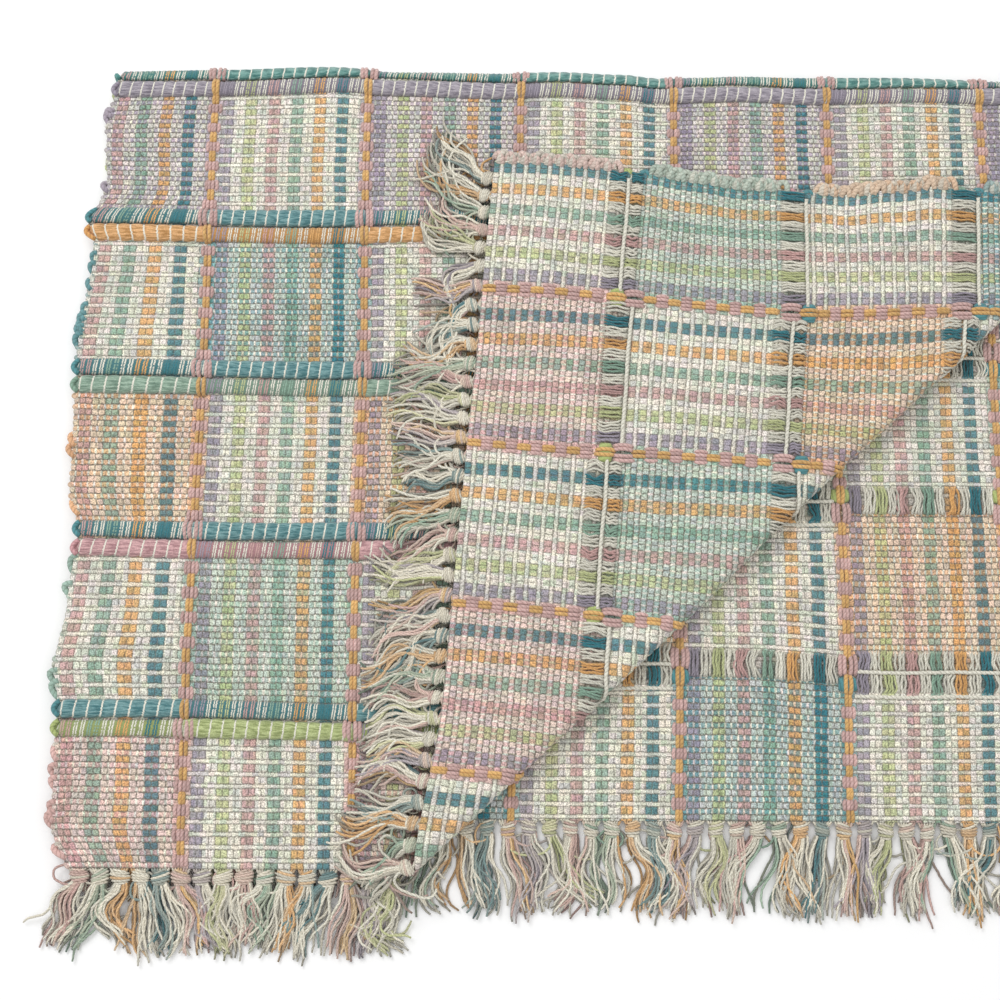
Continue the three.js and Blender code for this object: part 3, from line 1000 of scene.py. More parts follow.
@dataclass(frozen=True)
class WarpStripes(Effect):
    """Stripe colour and bead count of the warp at a flat place."""

    name: str = "warp_stripes"
    inputs: tuple[tuple[str, str], ...] = (("Across", NUMBER),)
    outputs: tuple[tuple[str, str], ...] = (
        ("Colour", COLOUR), ("Bead", NUMBER), ("Chain", NUMBER), ("Cream", NUMBER),
    )
    weave: Weave = Weave()

    def work(self, bench: Bench, given: dict[str, Socket]) -> dict[str, Socket]:
        """Counts beads from the last chain and reads the stripes that they belong to.

        Args:
            bench: where the nodes go.
            given: the group's inputs. Across is in millimetres.

        Returns:
            The group's outputs. Chain is 1 over a chain, and Cream is 1 over cream warps.
        """
        weave = self.weave
        past_first = bench.number("SUBTRACT", given["Across"], weave.chain_first)
        turns = bench.number("DIVIDE", past_first, weave.chain_pitch)
        part = bench.number("FRACT", bench.number("ADD", turns, 1.0))
        offset = bench.number("MULTIPLY", part, weave.chain_pitch)
        bead = bench.number("DIVIDE", bench.number("SUBTRACT", offset, weave.chain_half), weave.bead)
        ramp = bench.node("ShaderNodeValToRGB")
        ramp.color_ramp.interpolation = "CONSTANT"
        stops = ramp.color_ramp.elements
        dyes = [dye for stripe in weave.stripes for dye in (stripe, Dye.CREAM)]
        while len(stops) < len(dyes):
            stops.new(0.5)
        for number, dye in enumerate(dyes):
            stops[number].position = number / len(dyes)
            stops[number].color = dye.rgba
        bench.feed(ramp.inputs["Fac"], bench.number("DIVIDE", bead, float(weave.beads)))
        before = bench.number("LESS_THAN", bead, 0.0)
        after = bench.number("GREATER_THAN", bead, float(weave.beads))
        chain = bench.number("ADD", before, after)
        pair = bench.number("FLOOR", bench.number("MULTIPLY", bead, 0.5))
        cream = bench.number("FLOORED_MODULO", pair, 2.0)
        return {"Colour": ramp.outputs["Color"], "Bead": bead, "Chain": chain, "Cream": cream}


@dataclass(frozen=True)
class PlainWeave(Effect):
    """Beads of warp and rows of weft, each cell half a cycle off its neighbours."""

    name: str = "plain_weave"
    inputs: tuple[tuple[str, str], ...] = (
        ("Flat", VECTOR), ("Cycle", NUMBER), ("Coloured", NUMBER), ("Weft", COLOUR), ("Tint", NUMBER),
    )
    outputs: tuple[tuple[str, str], ...] = (("Colour", COLOUR), ("Height", NUMBER))
    coloured_share: float = 0.47
    cream_share: float = 0.34
    tick_half: float = 0.17
    stripe_tint: float = 0.32
    bead_hue: float = 0.12
    row_power: float = 2.4
    bead_power: float = 4.0
    light_from: float = 0.88
    light_spread: float = 0.3
    cream_shadow: float = 0.28
    coloured_shadow: float = 0.12
    fray_scale: float = 900.0
    fray_reach: float = 1.2
    lit_from: float = 0.62

    def wander(self, bench: Bench, flat: Socket, scale: float, reach: float) -> Socket:
        """A slow wander of the rows or beads.

        Args:
            bench: where the nodes go.
            flat: the flat place.
            scale: fineness of the wander.
            reach: its size from end to end.

        Returns:
            A number around zero.
        """
        noise = bench.noise(flat, scale, 2.0, "2D")
        return bench.number("MULTIPLY", bench.number("SUBTRACT", noise, 0.5), reach)

    def work(self, bench: Bench, given: dict[str, Socket]) -> dict[str, Socket]:
        """Draws warp beads and weft rows with ticks between their squares, and paints shade into the low
        gaps between beads and rows.

        Args:
            bench: where the nodes go.
            given: the group's inputs. Flat is in metres.

        Returns:
            The group's outputs.
        """
        flat, cell = given["Flat"], given["Coloured"]
        flat_across, _ = bench.parts(flat)
        slow = self.wander(bench, flat, 30.0, 1.6)
        across = bench.number("MULTIPLY_ADD", flat_across, 1.0 / MM, slow)
        across = bench.number("ADD", across, self.wander(bench, flat, 420.0, 0.8))
        stripes = bench.group(WarpStripes().tree(), Across=across)
        cycle = bench.number("ADD", given["Cycle"], self.wander(bench, flat, 28.0, 0.2))
        cycle = bench.number("ADD", cycle, self.wander(bench, flat, 400.0, 0.15))
        turned = bench.number("MULTIPLY_ADD", bench.one_less(cell), 0.5, cycle)
        phase = bench.number("FRACT", bench.number("ADD", turned, 8.0))
        more = self.coloured_share - self.cream_share
        weft_share = bench.number("MULTIPLY_ADD", cell, more, self.cream_share)
        warp_row = bench.number("GREATER_THAN", phase, weft_share)
        on_weft = bench.number("DIVIDE", phase, weft_share)
        past_weft = bench.number("SUBTRACT", phase, weft_share)
        on_warp = bench.number("DIVIDE", past_weft, bench.one_less(weft_share))
        row = bench.mix_number(warp_row, on_weft, on_warp)
        share = bench.number("FRACT", stripes["Bead"])
        along = self.dome(bench, row, self.row_power)
        beside = self.dome(bench, share, self.bead_power)
        from_middle = bench.off_middle(share)
        tick = bench.step(from_middle, 0.5 - self.tick_half - 0.05, 0.5 - self.tick_half + 0.05)
        seam = bench.step(from_middle, 0.0, 0.1)
        light = self.light(bench, across, turned)
        under_chain = bench.mix(0.25, given["Weft"], Dye.CREAM.rgba)
        chained = bench.mix(stripes["Chain"], stripes["Colour"], under_chain)
        creamy = bench.mix_number(stripes["Cream"], self.stripe_tint, 1.0)
        tinting = bench.number("MULTIPLY", bench.number("MULTIPLY", cell, given["Tint"]), creamy)
        softened = bench.mix(bench.mix_number(cell, 0.12, 0.0), chained, Dye.CREAM.rgba)
        tinted = bench.mix(tinting, softened, given["Weft"])
        pale = bench.mix(0.45, Dye.CREAM.rgba, chained)
        dull = bench.mix(bench.number("MULTIPLY_ADD", given["Tint"], 0.5, 0.1), given["Weft"], chained)
        squares = bench.mix(tick, dull, pale)
        plain = bench.mix(0.2, Dye.CREAM.rgba, chained)
        colour = bench.mix(warp_row, bench.mix(cell, plain, squares), tinted)
        colour = bench.mix(1.0, colour, light, "MULTIPLY")
        beads = bench.number("MULTIPLY", along, beside)
        beads = bench.number("MULTIPLY", beads, bench.number("MULTIPLY_ADD", seam, 0.16, 0.84))
        ticked = bench.number("MULTIPLY_ADD", tick, 0.3, 0.66)
        notch = bench.number("MULTIPLY_ADD", beside, 0.22, 0.72)
        ticked = bench.mix_number(cell, notch, ticked)
        height = bench.mix_number(warp_row, bench.number("MULTIPLY", along, ticked), beads)
        # Painted shade: low places of the relief, the gaps between beads and rows, are mixed towards the
        # shadow colour, and high places keep the bead colour.
        frayed = bench.number("ADD", height, self.wander(bench, flat, self.fray_scale, self.fray_reach))
        lit = bench.step(frayed, 0.0, self.lit_from)
        shadow = bench.mix_number(cell, self.cream_shadow, self.coloured_shadow)
        dark = bench.mix(shadow, Dye.SHADOW.rgba, colour)
        return {"Colour": bench.mix(lit, dark, colour), "Height": height}

    def light(self, bench: Bench, across: Socket, turned: Socket) -> Socket:
        """How light each bead is, as a near grey that differs from bead to bead.

        Args:
            bench: where the nodes go.
            across: flat place across, in millimetres.
            turned: count of cycles.

        Returns:
            A near grey.
        """
        speck = bench.node("ShaderNodeTexWhiteNoise", noise_dimensions="2D")
        bead = bench.number("FLOOR", bench.number("DIVIDE", across, Weave().bead))
        row = bench.number("FLOOR", bench.number("MULTIPLY", turned, 2.0))
        bench.feed(speck.inputs["Vector"], bench.pair(bead, row))
        value = speck.outputs["Value"]
        share = bench.number("MULTIPLY_ADD", value, self.light_spread, self.light_from)
        return bench.mix(self.bead_hue, bench.grey(share), speck.outputs["Color"])

    @staticmethod
    def dome(bench: Bench, share: Socket, power: float) -> Socket:
        """Height of a rounded bead over its share from edge to edge."""
        spread = bench.number("ABSOLUTE", bench.number("MULTIPLY_ADD", share, 2.0, -1.0))
        return bench.one_less(bench.number("POWER", spread, power))


@dataclass(frozen=True)
class Finish:
    """A cotton finish: how rough and fuzzy it is. Each kind draws its own colour and relief."""

    name: str
    slot: str = "woven_cotton"
    roughness: float = 0.92
    sheen: float = 0.25
    unevenness: float = 0.3
    bump: float = 0.7
    depth: float = 0.8
    fuzz: float = 0.12
    specular: float = 0.2
    sheen_roughness: float = 0.6

    def material(self) -> bpy.types.Material:
        """Returns the finish's material, and makes it the first time that it is asked for.

        Returns:
            The material.
        """
        found = bpy.data.materials.get(self.name)
        if found is not None:
            return found
        made = bpy.data.materials.new(self.name)
        made.use_nodes = True
        bench = Bench(made.node_tree)
        shader = made.node_tree.nodes["Principled BSDF"]
        colour, height = self.draw(bench)
        fibre = bench.group(CottonFibre().tree(), Colour=colour, Unevenness=self.unevenness)
        total = bench.number("MULTIPLY_ADD", fibre["Height"], self.fuzz, height)
        relief = bench.node("ShaderNodeBump")
        bench.feed(relief.inputs["Strength"], self.bump)
        bench.feed(relief.inputs["Distance"], self.depth * MM)
        bench.feed(relief.inputs["Height"], total)
        rough_from = self.roughness - self.fuzz / 2.0
        rough = bench.number("MULTIPLY_ADD", fibre["Height"], self.fuzz, rough_from)
        bench.feed(shader.inputs["Base Color"], fibre["Colour"])
        bench.feed(shader.inputs["Roughness"], rough)
        bench.feed(shader.inputs["Normal"], relief.outputs["Normal"])
        shader.inputs["Specular IOR Level"].default_value = self.specular
        shader.inputs["Sheen Weight"].default_value = self.sheen
        shader.inputs["Sheen Roughness"].default_value = self.sheen_roughness
        return made

    def draw(self, bench: Bench) -> tuple[Socket, Socket]:
        """Draws the finish's colour and relief. Each kind has its own."""
        raise NotImplementedError


@dataclass(frozen=True)
class WovenFinish(Finish):
    """The cloth's plain weave, from its flat map and the cells' attributes, with painted shade on the
    back under the free warps.
    """

    def draw(self, bench: Bench) -> tuple[Socket, Socket]:
        """Feeds the weave with the cloth's flat places, cycles and cells.

        Args:
            bench: where the nodes go.

        Returns:
            Colour and height.
        """
        flat = bench.node("ShaderNodeUVMap", uv_map="flat")
        cycle = bench.node("ShaderNodeAttribute", attribute_name="cycle")
        cell = bench.node("ShaderNodeAttribute", attribute_name="coloured")
        weft = bench.node("ShaderNodeAttribute", attribute_name="weft")
        gap = bench.node("ShaderNodeAttribute", attribute_name="shade_under_floats")
        weave = bench.group(
            PlainWeave().tree(),
            Flat=flat.outputs["UV"],
            Cycle=cycle.outputs["Fac"],
            Coloured=cell.outputs["Fac"],
            Weft=weft.outputs["Color"],
            Tint=weft.outputs["Alpha"],
        )
        # Painted shade: where the back lies under free warp runs, the weave is mixed towards the shadow
        # colour.
        under = bench.mix(0.55, Dye.SHADOW.rgba, weave["Colour"])
        colour = bench.mix(gap.outputs["Fac"], weave["Colour"], under)
        return colour, weave["Height"]


@dataclass(frozen=True)
class RibFinish(Finish):
    """A rib's bundle: bare with thin binders, or covered by ridges of warp."""

    binder_pitch: float = 6.75
    binder_lean: float = 2.0
    binder_bow: float = -0.5
    streaks_along: float = 160.0
    streaks_around: float = 30.0
    warp_off_middle: float = 0.19

    def draw(self, bench: Bench) -> tuple[Socket, Socket]:
        """Draws fibres and binders where the tint's alpha is 1, and warp ridges with painted shade
        between them where it is 0.

        Args:
            bench: where the nodes go.

        Returns:
            Colour and height.
        """
        strand = bench.node("ShaderNodeUVMap", uv_map="strand").outputs["UV"]
        along, around = bench.parts(strand)
        tint = bench.node("ShaderNodeAttribute", attribute_name="tint")
        dye, is_bare = tint.outputs["Color"], tint.outputs["Alpha"]
        round_off = bench.number("SINE", bench.number("MULTIPLY", around, TURN))
        bowed = bench.number("MULTIPLY", round_off, self.binder_bow)
        lean = bench.number("MULTIPLY_ADD", around, self.binder_lean, bowed)
        place = bench.pair(
            bench.number("MULTIPLY", along, self.streaks_along),
            bench.number("MULTIPLY", around, self.streaks_around),
        )
        streak = bench.noise(place, 1.0, 3.0, "2D")
        off_line = bench.number("MULTIPLY", bench.number("SUBTRACT", streak, 0.5), 1.2)
        across = bench.number("MULTIPLY", along, 1.0 / MM)
        across = bench.number("ADD", bench.number("ADD", across, lean), off_line)
        stripes = bench.group(WarpStripes().tree(), Across=across)
        slot = bench.number("FRACT", bench.number("DIVIDE", across, self.binder_pitch))
        binder = bench.one_less(bench.step(bench.off_middle(slot), 0.045, 0.085))
        light = bench.step(streak, 0.3, 0.7)
        # dark is the bundle's dye at 55%: it gives the darker fibre streaks where the streak noise is
        # low, and the painted shade between covering warp ridges.
        dark = bench.mix(1.0, dye, (0.55, 0.55, 0.55, 1.0), "MULTIPLY")
        pale = bench.mix(0.16, dye, Dye.CREAM.rgba)
        bare = bench.mix(light, dark, pale)
        bare = bench.mix(binder, bare, Dye.CREAM.rgba)
        share = bench.number("FRACT", stripes["Bead"])
        from_warp = bench.off_middle(bench.off_middle(share), self.warp_off_middle)
        ridge = bench.one_less(bench.step(from_warp, 0.075, 0.15))
        ridge = bench.number("MULTIPLY", ridge, bench.step(streak, 0.28, 0.42))
        # Painted shade: between the covering warp ridges the bundle shows darkened.
        covered = bench.mix(ridge, bench.mix(0.15, dark, dye), stripes["Colour"])
        colour = bench.mix(is_bare, covered, bare)
        raised = bench.number("MULTIPLY", binder, 0.35)
        bare_height = bench.number("MULTIPLY_ADD", streak, 0.6, raised)
        height = bench.number("MULTIPLY", bare_height, is_bare)
        height = bench.number("MULTIPLY_ADD", ridge, bench.one_less(is_bare), height)
        return colour, height


@dataclass(frozen=True)
class YarnFinish(Finish):
    """Plied yarn in its own tint."""

    ply: float = 2.6

    def draw(self, bench: Bench) -> tuple[Socket, Socket]:
        """Draws the twist of the plies along a strand, with painted shade in the grooves between them.

        Args:
            bench: where the nodes go.

        Returns:
            Colour and height.
        """
        strand = bench.node("ShaderNodeUVMap", uv_map="strand").outputs["UV"]
        along, around = bench.parts(strand)
        tint = bench.node("ShaderNodeAttribute", attribute_name="tint")
        turns = bench.number("MULTIPLY", along, 100.0 / self.ply)
        turns = bench.number("ADD", turns, bench.number("MULTIPLY", around, 2.0))
        angle = bench.number("MULTIPLY", turns, TURN)
        height = bench.number("MULTIPLY_ADD", bench.number("SINE", angle), 0.5, 0.5)
        # Painted shade: the low grooves of the twist are darkened.
        dark = bench.mix(1.0, tint.outputs["Color"], (0.74, 0.73, 0.71, 1.0), "MULTIPLY")
        return bench.mix(bench.step(height, 0.0, 0.5), dark, tint.outputs["Color"]), height


WOVEN = WovenFinish("woven_plaid", bump=0.75, depth=0.9, unevenness=0.7)
RIBBED = RibFinish("rib_bundles", unevenness=0.25, bump=0.6, depth=0.7)
PLIED = YarnFinish("plied_yarn", bump=0.5, depth=0.25, unevenness=0.25)
FRINGED = YarnFinish("fringe_plies", slot="fringe_yarn", bump=0.5, depth=0.25, unevenness=0.3)


@dataclass(frozen=True)
class FloatRun:
    """One run of free warps over a rib's zone, as offsets along from the rib's middle."""

    start: float
    end: float


@dataclass(frozen=True)
class FloatPlan:
    """Where warps run free over the ribs' backs, and where cream weft lines lie beside them.

    Single columns are those where the rib's lower row is bare on the face, and split columns
    are the others. The upper layer's ribs and the lower layer's differ.
    """

    weave: Weave = Weave()
    split_v: float = 473.0
    upper_single: tuple[FloatRun, ...] = (FloatRun(-11.5, 2.6),)
    upper_split: tuple[FloatRun, ...] = (FloatRun(-15.5, -5.4), FloatRun(-2.2, 4.4))
    lower_single: tuple[FloatRun, ...] = (FloatRun(-10.7, 5.2),)
    lower_split: tuple[FloatRun, ...] = (FloatRun(-13.4, -2.6), FloatRun(-0.4, 10.6))
    upper_single_lines: tuple[float, ...] = (4.1,)
    upper_split_lines: tuple[float, ...] = (-3.8,)
    lower_single_lines: tuple[float, ...] = ()
    lower_split_lines: tuple[float, ...] = (-1.5, 11.9)

    def runs(self, rib: Rib, single: bool) -> tuple[FloatRun, ...]:
        """The runs over a rib in its single or its split columns.

        Args:
            rib: the rib.
            single: which columns.

        Returns:
            The runs.
        """
        if rib.centre < self.split_v:
            return self.upper_single if single else self.upper_split
        return self.lower_single if single else self.lower_split

    def lines(self, rib: Rib, single: bool) -> tuple[float, ...]:
        """Offsets of the weft lines beside a rib's runs.

        Args:
            rib: the rib.
            single: which columns.

        Returns:
            Offsets along from the rib's middle.
        """
        if rib.centre < self.split_v:
            return self.upper_single_lines if single else self.upper_split_lines
        return self.lower_single_lines if single else self.lower_split_lines

    def is_single(self, rib: Rib, u: Array) -> Array:
        """True in a rib's single columns."""
        return rib.shows(self.weave.column(u), np.zeros(np.shape(u), bool))

    def under(self, u: Array, v: Array) -> Array:
        """True where the cloth's back lies bare under a run.

        Args:
            u: flat places across.
            v: flat places along.

        Returns:
            True or False for each place.
        """
        weave = self.weave
        found = np.zeros(np.shape(u), bool)
        between = weave.from_chain(u) > weave.chain_half
        for rib in weave.ribs:
            for single in (True, False):
                here = (self.is_single(rib, u) == single) & between
                for run in self.runs(rib, single):
                    inside = (v > rib.centre + run.start + 0.6) & (v < rib.centre + run.end - 0.6)
                    found |= here & inside
        return found


@dataclass
class Cloth:
    """The woven sheet itself, one closed skin with its rows and cells in relief."""

    fold: RugFold
    weave: Weave
    floats: FloatPlan = FloatPlan()
    half: float = 1.55
    row_relief: float = 0.22
    puff: float = 0.3
    groove: float = 0.55
    hollow: float = 0.9

    def lift(self, u: Array, v: Array, side: Side) -> Array:
        """How far a side of the cloth lies off its middle surface.

        Args:
            u: flat places across.
            v: flat places along.
            side: which side.

        Returns:
            Distances along the face side's normal.
        """
        weave = self.weave
        phase = weave.cycle_at(v) + np.where(weave.coloured(u, v, side), 0.0, 0.5)
        rows = -np.cos(TURN * (phase - 0.02))
        from_chain = weave.from_chain(u)
        share = weave.past_chain(u) / weave.chain_pitch
        rib = weave.rib_share(v)
        ribbed = smooth(rib / 0.25)
        out = self.half + self.row_relief * rows * (1.0 - ribbed)
        out = out + self.puff * np.sin(math.pi * share) * (1.0 - ribbed)
        out = out - self.groove * np.exp(-((from_chain / 3.5) ** 2))
        hollow = self.hollow if side is Side.BACK else 0.3
        out = out - hollow * ribbed
        return out * side.value

    def build(self) -> bpy.types.Object:
        """Returns:
            The cloth piece.
        """
        weave = self.weave
        across, along = weave.lines_across(), weave.lines_along()
        v, u = np.meshgrid(along, across, indexing="ij")
        stock = Stock()
        rows, columns = u.shape
        for side in Side:
            stock.points.append(self.fold.place(u, v, self.lift(u, v, side)).reshape(-1, 3))
        face = np.arange(rows * columns).reshape(rows, columns)
        back = face + rows * columns
        quads = [face[:-1, :-1], face[:-1, 1:], face[1:, 1:], face[1:, :-1]]
        stock.faces.append(np.stack(quads, -1).reshape(-1, 4))
        below = [quad + rows * columns for quad in reversed(quads)]
        stock.faces.append(np.stack(below, -1).reshape(-1, 4))
        rims = (
            (face[0, :], back[0, :], False),
            (face[-1, :], back[-1, :], True),
            (face[:, 0], back[:, 0], True),
            (face[:, -1], back[:, -1], False),
        )
        for near, far, turned in rims:
            strip = [near[:-1], far[:-1], far[1:], near[1:]]
            stock.faces.append(np.stack(strip[::-1] if turned else strip, -1))
        piece = stock.make("woven_cloth", WOVEN)
        self.dress(piece.data, u, v)
        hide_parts("rug_cloth")
        return piece

    def dress(self, mesh: bpy.types.Mesh, u: Array, v: Array) -> None:
        """Adds the flat map, the bake map, the cells' attributes and the mask of painted shade under the
        free warps.

        Args:
            mesh: the cloth's mesh, with the face side's faces before the back side's and the rims.
            u: grid of flat places across.
            v: grid of flat places along.
        """
        weave = self.weave
        corners = np.empty(len(mesh.loops), np.int32)
        mesh.loops.foreach_get("vertex_index", corners)
        both_u, both_v = np.tile(u.ravel(), 2), np.tile(v.ravel(), 2)
        at_u, at_v = both_u[corners].reshape(-1, 4), both_v[corners].reshape(-1, 4)
        flat = mesh.uv_layers.new(name="flat")
        flat.data.foreach_set("uv", (np.stack([at_u, at_v], -1) * MM).astype(np.float32).ravel())
        on_back = (corners >= u.size).reshape(-1, 4)
        count = (u.shape[0] - 1) * (u.shape[1] - 1)
        bake_x = 0.01 + 0.48 * at_u / weave.width + 0.5 * on_back
        bake_y = 0.01 + 0.98 * at_v / weave.length
        rim = np.arange(len(at_u)) >= 2 * count
        sideways = rim & (np.ptp(at_u, axis=1) < 1e-6)
        endways = rim & ~sideways
        bake_x[rim] -= 0.5 * on_back[rim]
        right = (at_u > weave.width / 2).astype(float)
        far = (at_v > weave.length / 2).astype(float)
        bake_x[sideways] = 0.002 + (0.006 * on_back + 0.49 * right)[sideways]
        bake_y[endways] = 0.002 + (0.006 * on_back + 0.99 * far)[endways]
        bake = mesh.uv_layers.new(name="OFBake")
        bake.data.foreach_set("uv", np.stack([bake_x, bake_y], -1).astype(np.float32).ravel())
        cycle = mesh.attributes.new("cycle", "FLOAT", "POINT")
        cycle.data.foreach_set("value", weave.cycle_at(both_v).astype(np.float32))
        mid_u, mid_v = at_u.mean(1), at_v.mean(1)
        back = on_back[:, 0] & ~rim
        coloured = weave.coloured(mid_u, mid_v, Side.FACE) != back
        cell = mesh.attributes.new("coloured", "FLOAT", "FACE")
        cell.data.foreach_set("value", coloured.astype(np.float32))
        shades = np.array([(*band.weft.rgb, band.tint) for band in weave.bands])
        wefts = shades[weave.band_number(mid_v) - 1]
        weft = mesh.attributes.new("weft", "FLOAT_COLOR", "FACE")
        weft.data.foreach_set("color", wefts.astype(np.float32).ravel())
        # Mask of the painted shade on the back under the free warp runs.
        shade_under_floats = self.floats.under(mid_u, mid_v) & back
        gap = mesh.attributes.new("shade_under_floats", "FLOAT", "FACE")
        gap.data.foreach_set("value", shade_under_floats.astype(np.float32))


@dataclass
class RibBundles:
    """The raised cross ribs on the upper layer's face: pairs of thick rows."""

    fold: RugFold
    weave: Weave
    half_width: float = 5.2
    base: float = 1.9
    height: float = 2.9
    row_offset: float = 5.4
    step: float = 0.872
    sides: int = 10
    binder_pitch: float = 6.75

    def build(self) -> bpy.types.Object:
        """Builds every row that shows on the face side.

        Returns:
            The piece with all rows.
        """
        stock = Stock()
        for rib in self.weave.ribs:
            if rib.centre < self.fold.fold_v:
                for upper in (False, True):
                    self.add_row(stock, rib, upper)
        return stock.make("cross_ribs", RIBBED)

    def add_row(self, stock: Stock, rib: Rib, upper: bool) -> None:
        """Adds one row from the left selvedge to where the corner's roll begins.

        Args:
            stock: what gathers the rows.
            rib: the rib that the row belongs to.
            upper: True for the row towards the fold.
        """
        middle = rib.centre + (self.row_offset if upper else -self.row_offset)
        every = np.arange(0.4, self.weave.width, self.step)
        u = every[self.fold.past_crease(every, np.full_like(every, middle)) < 1.5]
        bare = rib.shows(self.weave.column(u), np.full(len(u), upper)).astype(float)
        angle = TURN * np.arange(self.sides) / self.sides
        lean = 5.0 * np.arange(self.sides) / self.sides
        pinch = np.abs(np.sin(math.pi * ((u[:, None] + lean) / self.binder_pitch - 0.5)))
        offset = self.weave.past_chain(u) - self.weave.chain_half
        ridge = -np.cos(TURN * offset / self.weave.bead)[:, None]
        swell = np.where(bare[:, None] > 0.5, 0.9 + 0.16 * pinch**0.6, 0.93 + 0.06 * ridge)
        ends = smooth(np.minimum(np.arange(len(u)), np.arange(len(u))[::-1]) / 4.0 + 0.15)[:, None]
        uneven = 1.0 + 0.05 * np.sin(u / 17.0 + rib.centre)[:, None]
        reach = swell * ends * uneven
        wander = 0.5 * np.sin(u / 31.0 + rib.centre * 2.0)[:, None]
        v = middle + wander + self.half_width * np.cos(angle) * reach
        lift = self.base + self.height * np.sin(angle) * reach
        lift = np.where(np.sin(angle) < 0.0, self.base + 0.4 * self.height * np.sin(angle) * reach, lift)
        grid = self.fold.place(u[:, None] + 0.0 * v, v, lift)[None]
        dye = np.array((rib.upper if upper else rib.lower).rgba)
        tints = np.broadcast_to(dye, (len(u), 4)).copy()
        tints[:, 3] = bare
        around = np.arange(self.sides + 1) / self.sides
        maps = np.stack(np.broadcast_arrays(u[:, None] * MM, around[None]), -1)[None]
        stock.add_grids(grid[:, :, ::-1], tints[None, :, None, :], maps[:, :, ::-1])


